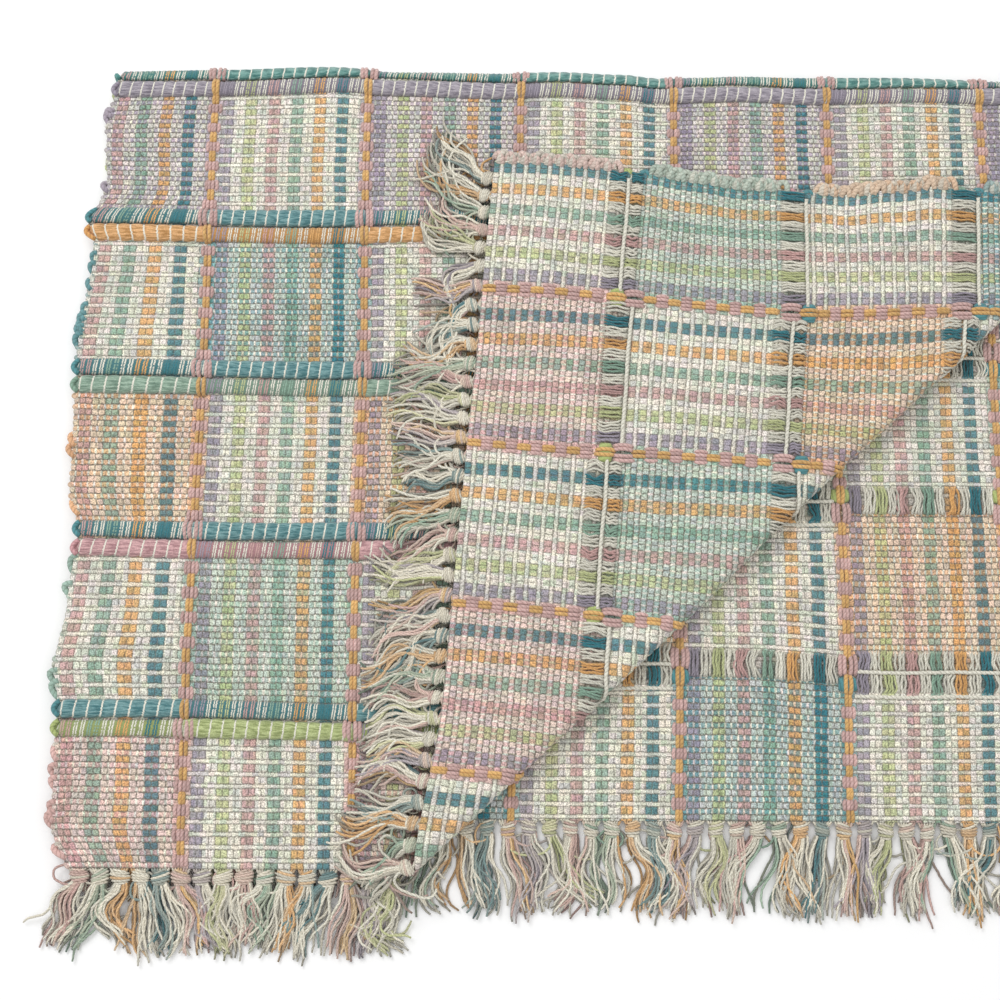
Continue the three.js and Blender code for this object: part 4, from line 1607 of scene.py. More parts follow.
@dataclass
class Chains:
    """Thick pink and orange warps that float in turn, in lines between the columns."""

    fold: RugFold
    weave: Weave
    pink_strands: int = 4
    orange_strands: int = 2
    pink_radius: float = 1.15
    orange_radius: float = 1.2
    spacing: float = 2.1
    row_offset: float = 5.2
    row_reach: float = 5.6
    orange_places: tuple[float, ...] = (-0.9, 0.9)
    pink_places: tuple[float, ...] = (-3.9, -1.5, 1.5, 3.9)
    seed: int = 11

    def build(self) -> bpy.types.Object:
        """Builds the floats of every chain on both sides, where they show.

        Returns:
            The piece with all floats.
        """
        stock = Stock()
        chance = np.random.default_rng(self.seed)
        for side in Side:
            for chain in self.weave.chains:
                self.add_chain(stock, chance, float(chain), side)
        return stock.make("chain_strands", PLIED)

    def add_chain(self, stock: Stock, chance: Chance, chain: float, side: Side) -> None:
        """Adds one chain's floats on one side.

        Args:
            stock: what gathers the floats.
            chance: the source of unevenness.
            chain: where the chain's middle lies across.
            side: which side of the cloth.
        """
        shows = self.fold.shows_face if side is Side.FACE else self.fold.shows_back
        turn = 0.0 if side is Side.FACE else 1.0
        for band in self.weave.bands:
            pitch = (band.end - band.start) / band.cycles
            middles = band.start + pitch * (np.arange(int(band.cycles)) + 0.6)
            pink = (np.arange(len(middles)) + turn) % 2 < 0.5
            seen = shows(np.full_like(middles, chain), middles)
            self.add_floats(stock, chance, chain, middles[pink & seen], pitch, side, True)
            self.add_floats(stock, chance, chain, middles[~pink & seen], pitch, side, False)
        for rib in self.weave.ribs:
            if not bool(shows(np.array(chain), np.array(rib.centre))):
                continue
            self.add_crossing(stock, chance, chain, rib, side)

    def add_floats(
        self,
        stock: Stock,
        chance: Chance,
        chain: float,
        middles: Array,
        pitch: float,
        side: Side,
        pink: bool,
    ) -> None:
        """Adds floats of one colour, each a few strands side by side.

        Args:
            stock: what gathers the floats.
            chance: the source of unevenness.
            chain: where the chain's middle lies across.
            middles: where the floats' middles lie along.
            pitch: length of one cycle.
            side: which side of the cloth.
            pink: True for the wide pink floats, and False for the narrow orange ones.
        """
        if len(middles) == 0:
            return
        strands = self.pink_strands if pink else self.orange_strands
        dye = Dye.CHAIN_PINK if pink else Dye.CHAIN_ORANGE
        radius = self.pink_radius if pink else self.orange_radius
        places = (np.arange(strands) - (strands - 1) / 2.0) * self.spacing
        share = np.linspace(0.0, 1.0, 6)
        length = pitch * (1.02 if pink else 1.15) * chance.uniform(0.92, 1.08, (len(middles), 1, 1))
        v = middles[:, None, None] + length * (share - 0.5)
        narrow = 1.0 - 0.12 * (2.0 * share - 1.0) ** 2
        u = chain + places[None, :, None] * narrow + chance.normal(0.0, 0.15, (len(middles), strands, 1))
        u = np.broadcast_to(u, (len(middles), strands, len(share)))
        v = np.broadcast_to(v, u.shape)
        edge = 1.0 - 0.25 * np.abs(places / (places.max() + 1e-6))[None, :, None] * pink
        lift = 0.4 + 1.75 * hump(share, 2.2) * edge
        paths = self.fold.place(u, v, side.value * lift).reshape(-1, len(share), 3)
        tints = dye.rgb * chance.uniform(0.8, 1.12, (len(paths), 1))
        up = self.fold.normal(u, v).reshape(paths.shape)
        stock.add_tubes(paths, radius, tints, up, 6, 0.9)

    def add_crossing(self, stock: Stock, chance: Chance, chain: float, rib: Rib, side: Side) -> None:
        """Adds what crosses a rib: orange strands over one row, and pink ones over the other.

        Args:
            stock: what gathers the floats.
            chance: the source of unevenness.
            chain: where the chain's middle lies across.
            rib: the rib that is crossed.
            side: which side of the cloth.
        """
        orange_up = rib.upper_on_odd == (side is Side.FACE)
        for upper in (False, True):
            middle = rib.centre + (self.row_offset if upper else -self.row_offset)
            if upper == orange_up:
                self.add_strands(stock, chance, chain, middle, side, Dye.CHAIN_ORANGE, self.orange_places)
                if side is Side.BACK:
                    self.add_block(stock, chain, middle, rib.upper if upper else rib.lower)
            else:
                self.add_strands(stock, chance, chain, middle, side, Dye.CHAIN_PINK, self.pink_places)

    def add_strands(
        self,
        stock: Stock,
        chance: Chance,
        chain: float,
        middle: float,
        side: Side,
        dye: Dye,
        places: tuple[float, ...],
    ) -> None:
        """Adds strands side by side over one thick row.

        Args:
            stock: what gathers the strands.
            chance: the source of unevenness.
            chain: where the chain's middle lies across.
            middle: where the row's middle lies along.
            side: which side of the cloth.
            dye: the strands' colour.
            places: offsets of the strands from the chain's middle.
        """
        share = np.linspace(0.0, 1.0, 9)[None]
        many = len(places)
        over = 4.3 if side is Side.FACE else 1.9
        bow = np.sign(np.array(places))[:, None] * 0.5 * hump(share)
        u = chain + np.array(places)[:, None] + bow + chance.normal(0.0, 0.12, (many, 1))
        v = middle + self.row_reach * (2.0 * share - 1.0) + chance.normal(0.0, 0.25, (many, 1))
        lift = 0.7 + over * hump(share, 3.0) * (1.0 - 0.03 * np.abs(np.array(places))[:, None])
        paths = self.fold.place(u, v, side.value * lift)
        tints = dye.rgb * chance.uniform(0.84, 1.06, (many, 1))
        stock.add_tubes(paths, self.pink_radius * 1.08, tints, self.fold.normal(u, v), 6, 0.9)

    def add_block(self, stock: Stock, chain: float, middle: float, dye: Dye) -> None:
        """Adds the thick row where it shows on the back, beneath the orange strands.

        Args:
            stock: what gathers the strands.
            chain: where the chain's middle lies across.
            middle: where the row's middle lies along.
            dye: the row's colour.
        """
        u = chain + np.linspace(-5.2, 5.2, 9)
        v = np.full_like(u, middle)
        path = self.fold.place(u, v, np.full_like(u, -0.9))[None]
        ends = 1.0 - 0.25 * np.abs(np.linspace(-1.0, 1.0, 9)[None]) ** 4
        stock.add_tubes(path, 4.3 * ends, dye.rgb[None] * 0.9, self.fold.normal(u, v)[None], 10, 0.38)


@dataclass
class BackFloats:
    """Warps that run free over the ribs' backs, with cream weft lines between their runs."""

    fold: RugFold
    weave: Weave
    plan: FloatPlan = FloatPlan()
    radius: float = 0.78
    pitch: float = 1.744
    depth: float = 1.15
    arch: float = 1.0
    pinch: float = 0.12
    sway: float = 0.8
    most: int = 600
    line_margin: float = 3.6
    seed: int = 23

    def build(self) -> bpy.types.Object:
        """Builds every run that shows on the back side.

        Returns:
            The piece with all runs and lines.
        """
        stock = Stock()
        chance = np.random.default_rng(self.seed)
        for rib in self.weave.ribs:
            for single in (True, False):
                for run in self.plan.runs(rib, single):
                    self.add_run(stock, chance, rib, run, single)
                for line in self.plan.lines(rib, single):
                    self.add_lines(stock, chance, rib, line, single)
        return stock.make("back_floats", PLIED)

    def add_run(self, stock: Stock, chance: Chance, rib: Rib, run: FloatRun, single: bool) -> None:
        """Adds one run of free warps in a rib's single or split columns.

        Args:
            stock: what gathers the warps.
            chance: the source of unevenness.
            rib: the rib that they cross.
            run: where the run starts and ends.
            single: which columns.
        """
        weave = self.weave
        before = weave.chain_first - weave.chain_pitch + weave.chain_half
        u = before + self.pitch * (np.arange(self.most) + 0.5)
        u = u[(u > 0.6) & (u < weave.width - 0.6)]
        middle = rib.centre + (run.start + run.end) / 2.0
        kept = self.plan.is_single(rib, u) == single
        kept &= weave.from_chain(u) > weave.chain_half - 0.2
        kept &= self.fold.shows_back(u, np.full_like(u, middle))
        u = u[kept]
        if len(u) == 0:
            return
        share = np.linspace(0.0, 1.0, 9)
        tints = weave.warp_colours(u) * chance.uniform(0.8, 1.08, (len(u), 1))
        offset = weave.past_chain(u) - weave.chain_half
        group = np.floor(offset / (2.0 * weave.bead)).astype(int)
        in_group = offset - (group + 0.5) * 2.0 * weave.bead
        lean = chance.normal(0.0, self.sway, 40)[np.clip(group, 0, 39)]
        middling = hump(share) * (1.0 + 0.35 * np.sin(TURN * share + group[:, None]))
        across = u[:, None] + (lean - self.pinch * in_group)[:, None] * middling
        across = across + chance.normal(0.0, 0.42, (len(u), 1)) * hump(share)
        across = across + 0.3 * np.sin(TURN * (share * 1.4 + chance.random((len(u), 1))))
        v = rib.centre + run.start + (run.end - run.start) * share[None]
        v = v + chance.normal(0.0, 0.3, (len(u), 1))
        lift = self.depth + self.arch * hump(share, 2.6) * chance.uniform(0.5, 1.2, (len(u), 1))
        paths = self.fold.place(across, v, -lift)
        up = self.fold.normal(across, v)
        radii = self.radius * chance.uniform(0.85, 1.12, (len(u), 1))
        stock.add_tubes(paths, radii, tints, up, 4)

    def add_lines(self, stock: Stock, chance: Chance, rib: Rib, line: float, single: bool) -> None:
        """Adds the cream weft line beside the runs, one length for each column.

        Args:
            stock: what gathers the lines.
            chance: the source of unevenness.
            rib: the rib that the line belongs to.
            line: its offset along from the rib's middle.
            single: which columns.
        """
        weave = self.weave
        edges = np.concatenate([[0.0], weave.chains, [weave.width]])
        for start, end in zip(edges[:-1], edges[1:]):
            middle = np.array((start + end) / 2.0)
            if bool(self.plan.is_single(rib, middle)) != single:
                continue
            u = np.arange(start + self.line_margin, end - self.line_margin, self.pitch)
            u = u[self.fold.shows_back(u, np.full_like(u, rib.centre + line))]
            if len(u) < 4:
                continue
            v = rib.centre + line + 0.25 * np.sin(u / 9.0) + chance.normal(0.0, 0.1, len(u))
            lift = 1.7 + 0.2 * alternate(len(u))
            path = self.fold.place(u, v, -lift)[None]
            up = self.fold.normal(u, v)[None]
            radii = 1.15 + 0.1 * alternate(len(u))[None]
            stock.add_tubes(path, radii, Dye.CREAM.rgb[None], up, 6, 0.75)


@dataclass
class SelvedgeLoops:
    """Turns of weft that stand out of both selvedges, some of them slack, and the ribs' thicker turns."""

    fold: RugFold
    weave: Weave
    radius: float = 1.3
    slack_share: float = 0.2
    slack_reach: float = 2.9
    slack_rows: float = 1.9
    slack_radius: float = 1.9
    right_reach: float = 5.4
    root: float = 1.7
    rib_offset: float = 5.4
    rib_lift: float = 1.4
    rib_radius: float = 1.5
    seed: int = 37

    def build(self) -> bpy.types.Object:
        """Builds the turns of both selvedges.

        Returns:
            The piece with all turns.
        """
        stock = Stock()
        chance = np.random.default_rng(self.seed)
        for edge in (0.0, self.weave.width):
            way = -1.0 if edge == 0.0 else 1.0
            for band in self.weave.bands:
                self.add_turns(stock, chance, band, edge, way)
            for rib in self.weave.ribs:
                self.add_rib_turn(stock, chance, rib, edge, way)
        return stock.make("selvedge_loops", PLIED)

    def bowed(self, edge: float, way: float, v: Array, lift: Array, out: Array) -> Array:
        """Paths along a selvedge that stand out of the cloth.

        Args:
            edge: the selvedge's u.
            way: which way is out of the cloth.
            v: flat places along.
            lift: distances off the middle surface.
            out: how far the paths stand out.

        Returns:
            Points in millimetres.
        """
        inner = np.full_like(v, edge)
        paths = self.fold.place(inner, v, lift)
        sideways = paths - self.fold.place(inner - way, v, lift)
        return paths + sideways * out[..., None]

    def add_turns(self, stock: Stock, chance: Chance, band: Band, edge: float, way: float) -> None:
        """Adds a band's turns of weft at one selvedge.

        Args:
            stock: what gathers the turns.
            chance: the source of unevenness.
            band: the band.
            edge: the selvedge's u.
            way: which way is out of the cloth.
        """
        count = int(band.cycles * 2)
        pitch = (band.end - band.start) / count
        middles = band.start + pitch * (np.arange(count) + 0.5)
        share = np.linspace(0.0, 1.0, 7)
        wide = edge > 0.0
        slack = chance.random((count, 1)) < self.slack_share
        draw = chance.random((count, 1))
        reach = self.right_reach * wide + 1.3 + 1.9 * draw**2.0
        reach = np.where(slack, self.slack_reach + 2.2 * draw + 0.7 * self.right_reach * wide, reach)
        out = reach * hump(share, 2.6) - self.root
        rows = np.where(slack, self.slack_rows + 1.2 * chance.random((count, 1)), 1.7 if wide else 0.95)
        v = middles[:, None] + pitch * rows * (share - 0.5) + 1.6 * slack * hump(share)
        lift = np.cos(math.pi * share) * alternate(count)[:, None]
        paths = self.bowed(edge, way, v, lift, out)
        paths[..., 2] = np.maximum(paths[..., 2], self.radius)
        cream = Dye.CREAM.rgb * 0.94
        pale = np.where(np.arange(count) % 2 == 0, 0.42, 0.85)[:, None]
        pale = np.where(slack, 0.55 if wide else 0.1, pale)
        tints = cream * pale + band.weft.rgb * (1.0 - pale)
        tints = tints * chance.uniform(0.82, 1.04, (count, 1))
        radii = np.where(slack | wide, self.slack_radius, self.radius)
        stock.add_tubes(paths, radii, tints, self.fold.normal(np.full_like(v, edge), v), 5)

    def add_rib_turn(self, stock: Stock, chance: Chance, rib: Rib, edge: float, way: float) -> None:
        """Adds the turns of a rib's thick rows at one selvedge.

        Args:
            stock: what gathers the turns.
            chance: the source of unevenness.
            rib: the rib.
            edge: the selvedge's u.
            way: which way is out of the cloth.
        """
        share = np.linspace(0.0, 1.0, 9)
        for centre, dye in ((-self.rib_offset, rib.lower), (self.rib_offset, rib.upper)):
            for strand in (-1.0, 1.0):
                out = (2.6 + strand * 0.7) * hump(share, 2.0) - 1.4
                v = rib.centre + centre + (3.4 + 0.7 * strand) * (2.0 * share - 1.0)
                lift = np.full_like(v, self.rib_lift + 0.9 * strand)
                path = self.bowed(edge, way, v, lift, out)[None]
                path[..., 2] = np.maximum(path[..., 2], self.rib_radius)
                tint = (dye.rgb * chance.uniform(0.85, 1.0))[None]
                up = self.fold.normal(np.full_like(v, edge), v)[None]
                stock.add_tubes(path, self.rib_radius, tint, up, 6)


@dataclass(frozen=True)
class Roots:
    """Where a fringe's knots lie, with the ways out of the cloth and along its end there."""

    u: Array
    centre: Array
    out: Array
    across: Array


@dataclass
class Fringe:
    """A knotted fringe: warps gathered into knots along an end, with their yarns loose beyond."""

    fold: RugFold
    weave: Weave
    name: str = "fringe"
    node: str = ""
    v: float = 0.0
    first_u: float = 6.0
    last_u: float = 604.0
    knot_pitch: float = 11.5
    knot_reach: float = 5.0
    knot_half: float = 3.3
    knot_wide: float = 5.0
    knot_high: float = 2.1
    yarns: int = 19
    points: int = 18
    radius: float = 0.7
    spread: float = 7.4
    bend: float = 14.0
    own_bend: float = 9.0
    strays: float = 0.1
    paleness: float = 0.25
    knot_paleness: float = 0.36
    curl: float = 24.0
    turns: float = 1.1
    lean_spread: float = 10.0
    loops: float = 0.05
    ring_radius: float = 0.74
    throat_radius: float = 0.75
    throat_share: float = 0.46
    throat_reach: float = 3.4
    mouth: float = 0.8
    short_share: float = 0.06
    short_length: float = 0.62
    layer_step: float = 0.95
    crimp: float = 0.13
    crimp_length: float = 5.6
    seed: int = 5

    def length(self, u: Array) -> Array:
        """Length of the loose yarns. Each fringe has its own."""
        raise NotImplementedError

    def lean(self, u: Array) -> Array:
        """Degrees that the tassels lean to the side. Each fringe has its own."""
        raise NotImplementedError

    def curve(self, u: Array) -> Array:
        """Degrees that the tassels turn over their length."""
        return np.zeros_like(u)

    def rest(self, x: Array, y: Array) -> Array:
        """Height that yarns rest on, over the plan before the shift."""
        return np.zeros_like(x)

    def knot_base(self, x: Array, y: Array) -> Array:
        """Height of the knots' underside."""
        return np.zeros_like(x)

    def places(self) -> Array:
        """Where the knots lie across."""
        count = int((self.last_u - self.first_u) / self.knot_pitch) + 1
        return self.first_u + self.knot_pitch * np.arange(count)

    def end_point(self, u: Array, inward: float) -> Array:
        """Points of the cloth's middle by its end, before the shift."""
        return self.fold.middle(*self.fold.drifted(u, np.full_like(u, self.v + inward)))

    def frames(self, u: Array) -> tuple[Array, Array, Array]:
        """The end's points and directions at u.

        Args:
            u: flat places across.

        Returns:
            Points before the shift, the way out of the cloth and the way along its end.
        """
        inward = 1.0 if self.v == 0.0 else -1.0
        point = self.end_point(u, 0.0)
        out = point - self.end_point(u, inward)
        out[:, 2] = 0.0
        out /= np.linalg.norm(out, axis=-1, keepdims=True)
        across = np.stack([-out[:, 1], out[:, 0], np.zeros(len(u))], -1)
        return point, out, across

    def build(self) -> bpy.types.Object:
        """Builds the knots, the throats before them and the loose yarns.

        Returns:
            The fringe piece.
        """
        stock = Stock()
        chance = np.random.default_rng(self.seed)
        u = self.places()
        point, out, across = self.frames(u)
        base = self.knot_base(point[:, 0], point[:, 1])
        centre = point + out * (self.knot_reach + chance.normal(0.0, 0.5, (len(u), 1)))
        centre[:, 2] = base + self.knot_high + 0.65
        roots = Roots(u, centre, out, across)
        self.add_knots(stock, chance, roots)
        self.add_throats(stock, chance, roots)
        self.add_yarns(stock, chance, roots)
        piece = stock.make(self.name, FRINGED)
        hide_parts(self.node)
        return piece

    def shifted(self, paths: Array) -> Array:
        """Paths moved into the row frame."""
        return paths + np.array([self.fold.shift_x, self.fold.shift_y, 0.0])

    def tints(self, chance: Chance, u: Array, paleness: float) -> Array:
        """Colours of fringe yarns that come from the warps at u, paler, warmer and uneven.

        Args:
            chance: the source of unevenness.
            u: flat places of the warps.
            paleness: how far they fade to the fringe's own cream.

        Returns:
            Linear colours, three numbers each.
        """
        share = np.clip(paleness + chance.uniform(-0.2, 0.25, (len(u), 1)), 0.0, 1.0)
        tint = self.weave.warp_colours(u) * (1.0 - share) + Dye.FRINGE.rgb * share
        return tint * chance.uniform(0.78, 1.06, (len(u), 1))

    def add_knots(self, stock: Stock, chance: Chance, roots: Roots) -> None:
        """Adds the knots: a core, tinted dark as painted shade, with slanting turns of yarn around it.

        Args:
            stock: what gathers the yarns.
            chance: the source of unevenness.
            roots: the knots' places.
        """
        u, centre = roots.u, roots.centre
        out, across = roots.out, roots.across
        count = len(u)
        size = chance.uniform(0.9, 1.1, (count, 1))
        share = np.linspace(-1.0, 1.0, 5)
        core = centre[:, None] + out[:, None] * (share * self.knot_half)[None, :, None]
        round_off = np.sqrt(1.0 - 0.7 * share**2)[None] * size
        # Painted shade: the core under the turns is tinted at half brightness.
        dark = self.tints(chance, u, self.knot_paleness) * 0.5
        radii = round_off * (self.knot_wide - 0.6)
        stock.add_tubes(self.shifted(core), radii, dark, UP, 8, self.knot_high / self.knot_wide)
        hand = chance.choice([-1.0, 1.0], (count, 1))
        angle = np.linspace(0.0, TURN, 12)[None]
        for turn in np.linspace(-1.0, 1.0, 6):
            ring = np.sqrt(1.0 - 0.6 * turn**2) * size
            wide = self.knot_wide * ring * np.cos(angle)
            high = self.knot_high * ring * np.sin(angle)
            slant = hand * (0.2 - 0.16 * turn) + chance.normal(0.0, 0.05, (count, 1))
            bow = -0.5 * (wide / self.knot_wide) ** 2
            ahead = turn * self.knot_half + slant * wide + bow
            path = centre[:, None] + out[:, None] * ahead[..., None]
            path = path + across[:, None] * wide[..., None] + np.array(UP) * high[..., None]
            tint = self.tints(chance, u + chance.uniform(-4.0, 4.0, count), self.knot_paleness)
            stock.add_tubes(self.shifted(path), self.ring_radius, tint, out[:, None], 5)

    def add_throats(self, stock: Stock, chance: Chance, roots: Roots) -> None:
        """Adds the warps that run from the cloth's end into each knot.

        Args:
            stock: what gathers the yarns.
            chance: the source of unevenness.
            roots: the knots' places.
        """
        u, centre = roots.u, roots.centre
        out, across = roots.out, roots.across
        for place in np.linspace(-1.0, 1.0, 7):
            at = u + place * self.knot_pitch * self.throat_share
            at = np.clip(at, 0.5, self.weave.width - 0.5)
            inward = 1.2 if self.v == 0.0 else -1.2
            start = self.end_point(at, inward)
            end = centre - out * (self.knot_half - self.mouth)
            end = end + across * (place * self.throat_reach)
            share = np.linspace(0.0, 1.0, 4)[None, :, None]
            path = start[:, None] * (1.0 - share) + end[:, None] * share
            path = path + np.array([0.0, 0.0, 0.7]) * hump(share)
            tint = self.tints(chance, at, self.knot_paleness)
            stock.add_tubes(self.shifted(path), self.throat_radius, tint, UP, 4)

    def add_yarns(self, stock: Stock, chance: Chance, roots: Roots) -> None:
        """Adds the loose yarns: each tassel's run together, and spread and part towards their tips, with
        painted shade on the lower yarns and painted highlight on the top ones.

        Args:
            stock: what gathers the yarns.
            chance: the source of unevenness.
            roots: the knots' places.
        """
        u, centre = roots.u, roots.centre
        out, across = roots.out, roots.across
        many = len(u) * self.yarns
        knot = np.repeat(np.arange(len(u)), self.yarns)
        place = np.tile(np.linspace(-1.0, 1.0, self.yarns), len(u)) + chance.normal(0.0, 0.1, many)
        place = place[:, None]
        share = np.linspace(0.0, 1.0, self.points)[None]
        length = (self.length(u) * chance.normal(1.0, 0.05, len(u)))[knot]
        length = length * chance.normal(1.0, 0.07, many)
        short = chance.random(many) < self.short_share
        length = np.where(short, length * self.short_length, length)[:, None]
        start = np.radians(self.lean(u) + chance.normal(0.0, self.lean_spread, len(u)))[knot][:, None]
        turn = np.radians(self.curve(u) + chance.normal(0.0, self.bend, len(u)))[knot][:, None]
        sway = np.radians(chance.normal(0.0, 9.0, len(u)))[knot][:, None]
        own = np.radians(chance.normal(0.0, self.own_bend, (many, 1)))
        own = np.where(chance.random((many, 1)) < self.strays, own * 5.0, own)
        looped = (chance.random((many, 1)) < self.loops) * chance.choice([-1.0, 1.0], (many, 1))
        own = own + looped * np.radians(chance.uniform(200.0, 420.0, (many, 1)))
        curl = np.radians(self.curl * chance.uniform(0.5, 1.5, len(u)))[knot][:, None]
        phase = chance.random(len(u))[knot][:, None] + chance.normal(0.0, 0.05, (many, 1))
        rate = (self.turns * chance.uniform(0.8, 1.2, len(u)))[knot][:, None]
        curling = curl * np.sin(TURN * (share * rate + phase))
        ripple = np.radians(chance.uniform(3.0, 13.0, (many, 1)))
        rippled = share * chance.uniform(0.7, 1.9, (many, 1)) + chance.random((many, 1))
        ripple = ripple * np.sin(TURN * rippled)
        opening = np.arctan2(self.spread - 2.6, 0.55 * length) * place
        heading = start + turn * share**1.1 + sway * np.sin(math.pi * share * 1.4)
        heading = heading + opening * np.clip(1.6 - 2.4 * share, -0.15, 1.0)
        heading = heading + own * share + (ripple + curling) * smooth(share * 3.0)
        step = length / (self.points - 1)
        ahead = np.cumsum(np.cos(heading) * step, 1) - step
        beside = np.cumsum(np.sin(heading) * step, 1)
        crimped = share * length / self.crimp_length + chance.random((many, 1))
        crimp = self.crimp * np.sin(TURN * crimped)
        beside = beside + crimp * np.cos(heading) + place * 2.7
        ahead = ahead - crimp * np.sin(heading) + self.knot_half - self.mouth
        paths = centre[knot][:, None] + out[knot][:, None] * ahead[..., None]
        paths = paths + across[knot][:, None] * beside[..., None]
        floor = self.rest(paths[..., 0], paths[..., 1])
        layer = np.tile(np.arange(self.yarns) % 3, len(u))[:, None] * self.layer_step
        pile = layer * (1.0 - 0.5 * share) + chance.uniform(0.0, 0.5, (many, 1))
        pile = pile + 0.7 * np.sin(TURN * (share * 1.2 + chance.random((many, 1)))) ** 2
        resting = floor + self.radius + 0.05 + pile
        root = centre[knot][:, 2:3] + (layer - 0.9) * 0.8
        height = root + (resting - root) * smooth(share * length / 11.0)
        paths[..., 2] = np.maximum(height, floor + self.radius)
        tint = self.tints(chance, u[knot] + place[:, 0] * self.knot_pitch * 0.48, self.paleness)
        # Painted shade and highlight: the bottom layer of yarns is darkened and the top layer made
        # brighter than its dye.
        tint = tint * (0.52 + 0.29 * (layer / self.layer_step))
        taper = self.radius * (1.0 - 0.25 * smooth((share - 0.85) / 0.15))
        stock.add_tubes(self.shifted(paths), taper, tint, UP, 4)


@dataclass
class LowerFringe(Fringe):
    """The fringe of the end that lies on the floor."""

    name: str = "lower_fringe"
    node: str = "fringe_lower"
    v: float = 914.0
    knot_wide: float = 4.0
    knot_half: float = 3.6
    spread: float = 6.2
    seed: int = 51
    covered_u: float = 200.0

    def length(self, u: Array) -> Array:
        """Length of the loose yarns, shorter under the upper layer."""
        return np.where(u < self.covered_u, 33.0, 43.0)

    def lean(self, u: Array) -> Array:
        """Degrees that the tassels lean to the side, inwards at the left corner."""
        return 4.0 * np.sin(u / 37.0) + 42.0 * (1.0 - smooth(u / 34.0))


@dataclass
class UpperFringe(Fringe):
    """The fringe that still faces forward on the upper layer's end."""

    name: str = "upper_fringe"
    node: str = "fringe_upper"
    last_u: float = 185.0
    yarns: int = 26
    points: int = 22
    spread: float = 9.4
    height: float = 2.9
    drop_from: float = -229.0
    drop_over: float = 8.0
    seed: int = 52

    def length(self, u: Array) -> Array:
        """Length of the loose yarns."""
        return np.full_like(u, 39.0)

    def lean(self, u: Array) -> Array:
        """Degrees that the tassels lean to the side, most at the left corner."""
        return -6.0 + 5.0 * np.sin(u / 29.0) - 38.0 * (1.0 - smooth(u / 52.0))

    def rest(self, x: Array, y: Array) -> Array:
        """Height that yarns rest on: the lower fringe, and then the floor."""
        return self.height * (1.0 - smooth((self.drop_from - y) / self.drop_over))

    def knot_base(self, x: Array, y: Array) -> Array:
        """Height of the knots' underside."""
        return np.full_like(x, self.height)


@dataclass
class TurnedFringe(Fringe):
    """The fringe of the turned corner, which lies on the upper layer."""

    name: str = "turned_fringe"
    node: str = "fringe_turned"
    first_u: float = 196.5
    yarns: int = 20
    points: int = 26
    radius: float = 0.78
    knot_rise: float = 5.8
    knot_wide: float = 4.0
    knot_half: float = 2.8
    knot_reach: float = 4.2
    knot_paleness: float = 0.36
    paleness: float = 0.28
    spread: float = 7.0
    bend: float = 22.0
    own_bend: float = 13.0
    curl: float = 30.0
    turns: float = 0.95
    loops: float = 0.12
    strays: float = 0.12
    clearance: float = 2.1
    rib_rise: float = 2.6
    corner_u: float = 552.0
    seed: int = 53

    def length(self, u: Array) -> Array:
        """Length of the loose yarns."""
        return 38.0 + 4.0 * np.sin(u / 23.0) + 5.0 * smooth((u - 530.0) / 40.0)

    def lean(self, u: Array) -> Array:
        """Degrees that the tassels lean, away from the camera at the corner."""
        return np.where(u > self.corner_u, -30.0, 4.0 + 6.0 * np.sin(u / 41.0))

    def curve(self, u: Array) -> Array:
        """Degrees that the tassels turn: away from the camera at the corner, and towards it next."""
        near = smooth((u - 470.0) / 60.0)
        return np.where(u > self.corner_u, -46.0, 26.0 + 30.0 * near + 12.0 * np.sin(u / 19.0))

    def rest(self, x: Array, y: Array) -> Array:
        """Height of the upper layer's face, over its ribs too.

        Args:
            x: plan places across.
            y: plan places towards the fold.

        Returns:
            Heights above the floor.
        """
        v = y - self.fold.fold_y + self.fold.fold_v
        over = smooth(self.weave.rib_share(v) / 0.4)
        return self.fold.top_height(x, y) + self.clearance + self.rib_rise * over

    def knot_base(self, x: Array, y: Array) -> Array:
        """Height of the knots' underside."""
        return self.fold.top_height(x, np.maximum(y, self.fold.dip_from)) + self.knot_rise - 0.4


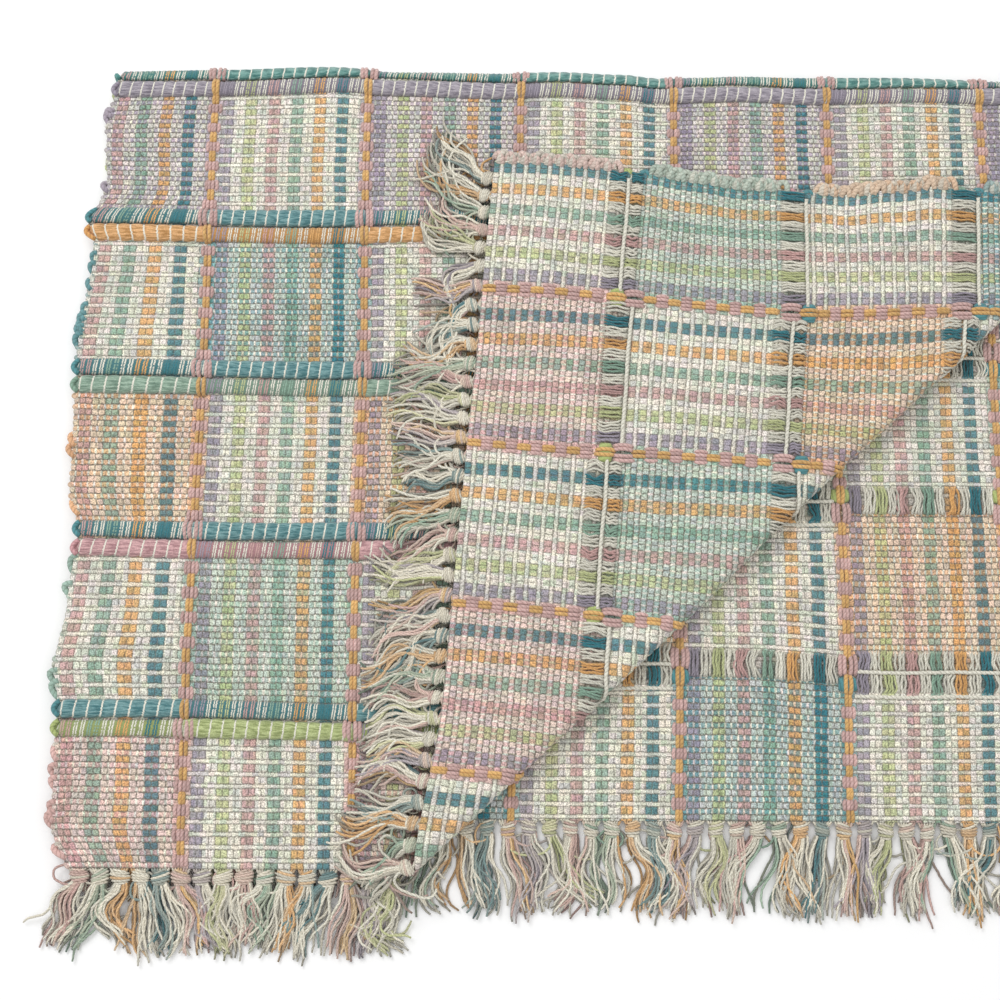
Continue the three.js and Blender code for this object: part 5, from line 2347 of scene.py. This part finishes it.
@dataclass
class Studio:
    """Floor, soft light and camera."""

    elevation: float = 78.0
    yaw: float = -0.34
    focal: float = 1481.0
    frame_width: float = 1000.0
    distance: float = 0.860
    target: tuple[float, float, float] = (-0.0676 + 0.0044, -0.0009, 0.0)
    sensor: float = 36.0
    sky: float = 0.72
    key: float = 9.0
    floor_half: float = 4.0
    floor_height: float = -0.0002

    def place_camera(self) -> None:
        """Places the camera at the photograph's angle, distance and field."""
        tilt, turn = math.radians(self.elevation), math.radians(self.yaw)
        level = math.cos(tilt)
        ahead = Vector((math.sin(turn) * level, math.cos(turn) * level, -math.sin(tilt)))
        right = Vector((math.cos(turn), -math.sin(turn), 0.0))
        up = right.cross(ahead)
        lens = bpy.data.cameras.new("view")
        lens.sensor_width = self.sensor
        lens.lens = self.sensor * self.focal / self.frame_width
        lens.clip_start, lens.clip_end = 0.05, 20.0
        camera = bpy.data.objects.new("view", lens)
        turned = Matrix((right, up, -ahead)).transposed()
        place = Vector(self.target) - ahead * self.distance
        camera.matrix_world = Matrix.Translation(place) @ turned.to_4x4()
        bpy.context.scene.collection.objects.link(camera)
        bpy.context.scene.camera = camera

    def add_light(self, name: str, place: tuple[float, float, float], size: float, power: float) -> None:
        """Adds a square soft light that looks at the rug.

        Args:
            name: the light's name.
            place: where it stands, in metres.
            size: its side.
            power: its power in watts.
        """
        lamp = bpy.data.lights.new(name, "AREA")
        lamp.size, lamp.energy = size, power
        light = bpy.data.objects.new(name, lamp)
        light.location = place
        light.rotation_mode = "QUATERNION"
        light.rotation_quaternion = (-Vector(place)).to_track_quat("-Z", "Y")
        bpy.context.scene.collection.objects.link(light)

    def build(self) -> None:
        """Builds the floor, the sky and the lights."""
        half, low = self.floor_half, self.floor_height
        mesh = bpy.data.meshes.new("floor")
        corners = [(-half, -half, low), (half, -half, low), (half, half, low), (-half, half, low)]
        mesh.from_pydata(corners, [], [(0, 1, 2, 3)])
        paper = bpy.data.materials.new("pale_floor")
        paper.use_nodes = True
        shader = paper.node_tree.nodes["Principled BSDF"]
        shader.inputs["Base Color"].default_value = Dye.FLOOR.rgba
        shader.inputs["Roughness"].default_value = 0.95
        shader.inputs["Specular IOR Level"].default_value = 0.1
        mesh.materials.append(paper)
        floor = bpy.data.objects.new("floor", mesh)
        bpy.context.scene.collection.objects.link(floor)
        world = bpy.data.worlds.new("soft_sky")
        world.use_nodes = True
        sky = world.node_tree.nodes["Background"]
        sky.inputs["Color"].default_value = (1.0, 1.0, 1.0, 1.0)
        sky.inputs["Strength"].default_value = self.sky
        bpy.context.scene.world = world
        self.add_light("window", (-1.1, 1.3, 1.9), 1.4, self.key * 3.2)
        self.add_light("overhead", (0.4, -0.5, 2.4), 2.2, self.key)
        bpy.context.scene.view_settings.view_transform = "Standard"


def main() -> None:
    """Builds the camera, the rug's pieces and the studio, and reports each."""
    logging.basicConfig(level=logging.INFO, format="%(name)s %(message)s")
    studio = Studio()
    studio.place_camera()
    LOG.info("camera placed")
    fold, weave = RugFold(), Weave()
    cloth = Cloth(fold, weave).build()
    trims = [
        RibBundles(fold, weave).build(),
        Chains(fold, weave).build(),
        BackFloats(fold, weave).build(),
        SelvedgeLoops(fold, weave).build(),
        LowerFringe(fold, weave).build(),
        UpperFringe(fold, weave).build(),
        TurnedFringe(fold, weave).build(),
    ]
    LOG.info("cloth declared with %d pieces on it", len(trims))
    studio.build()
    LOG.info("studio lit")


if __name__ == "__main__":
    main()
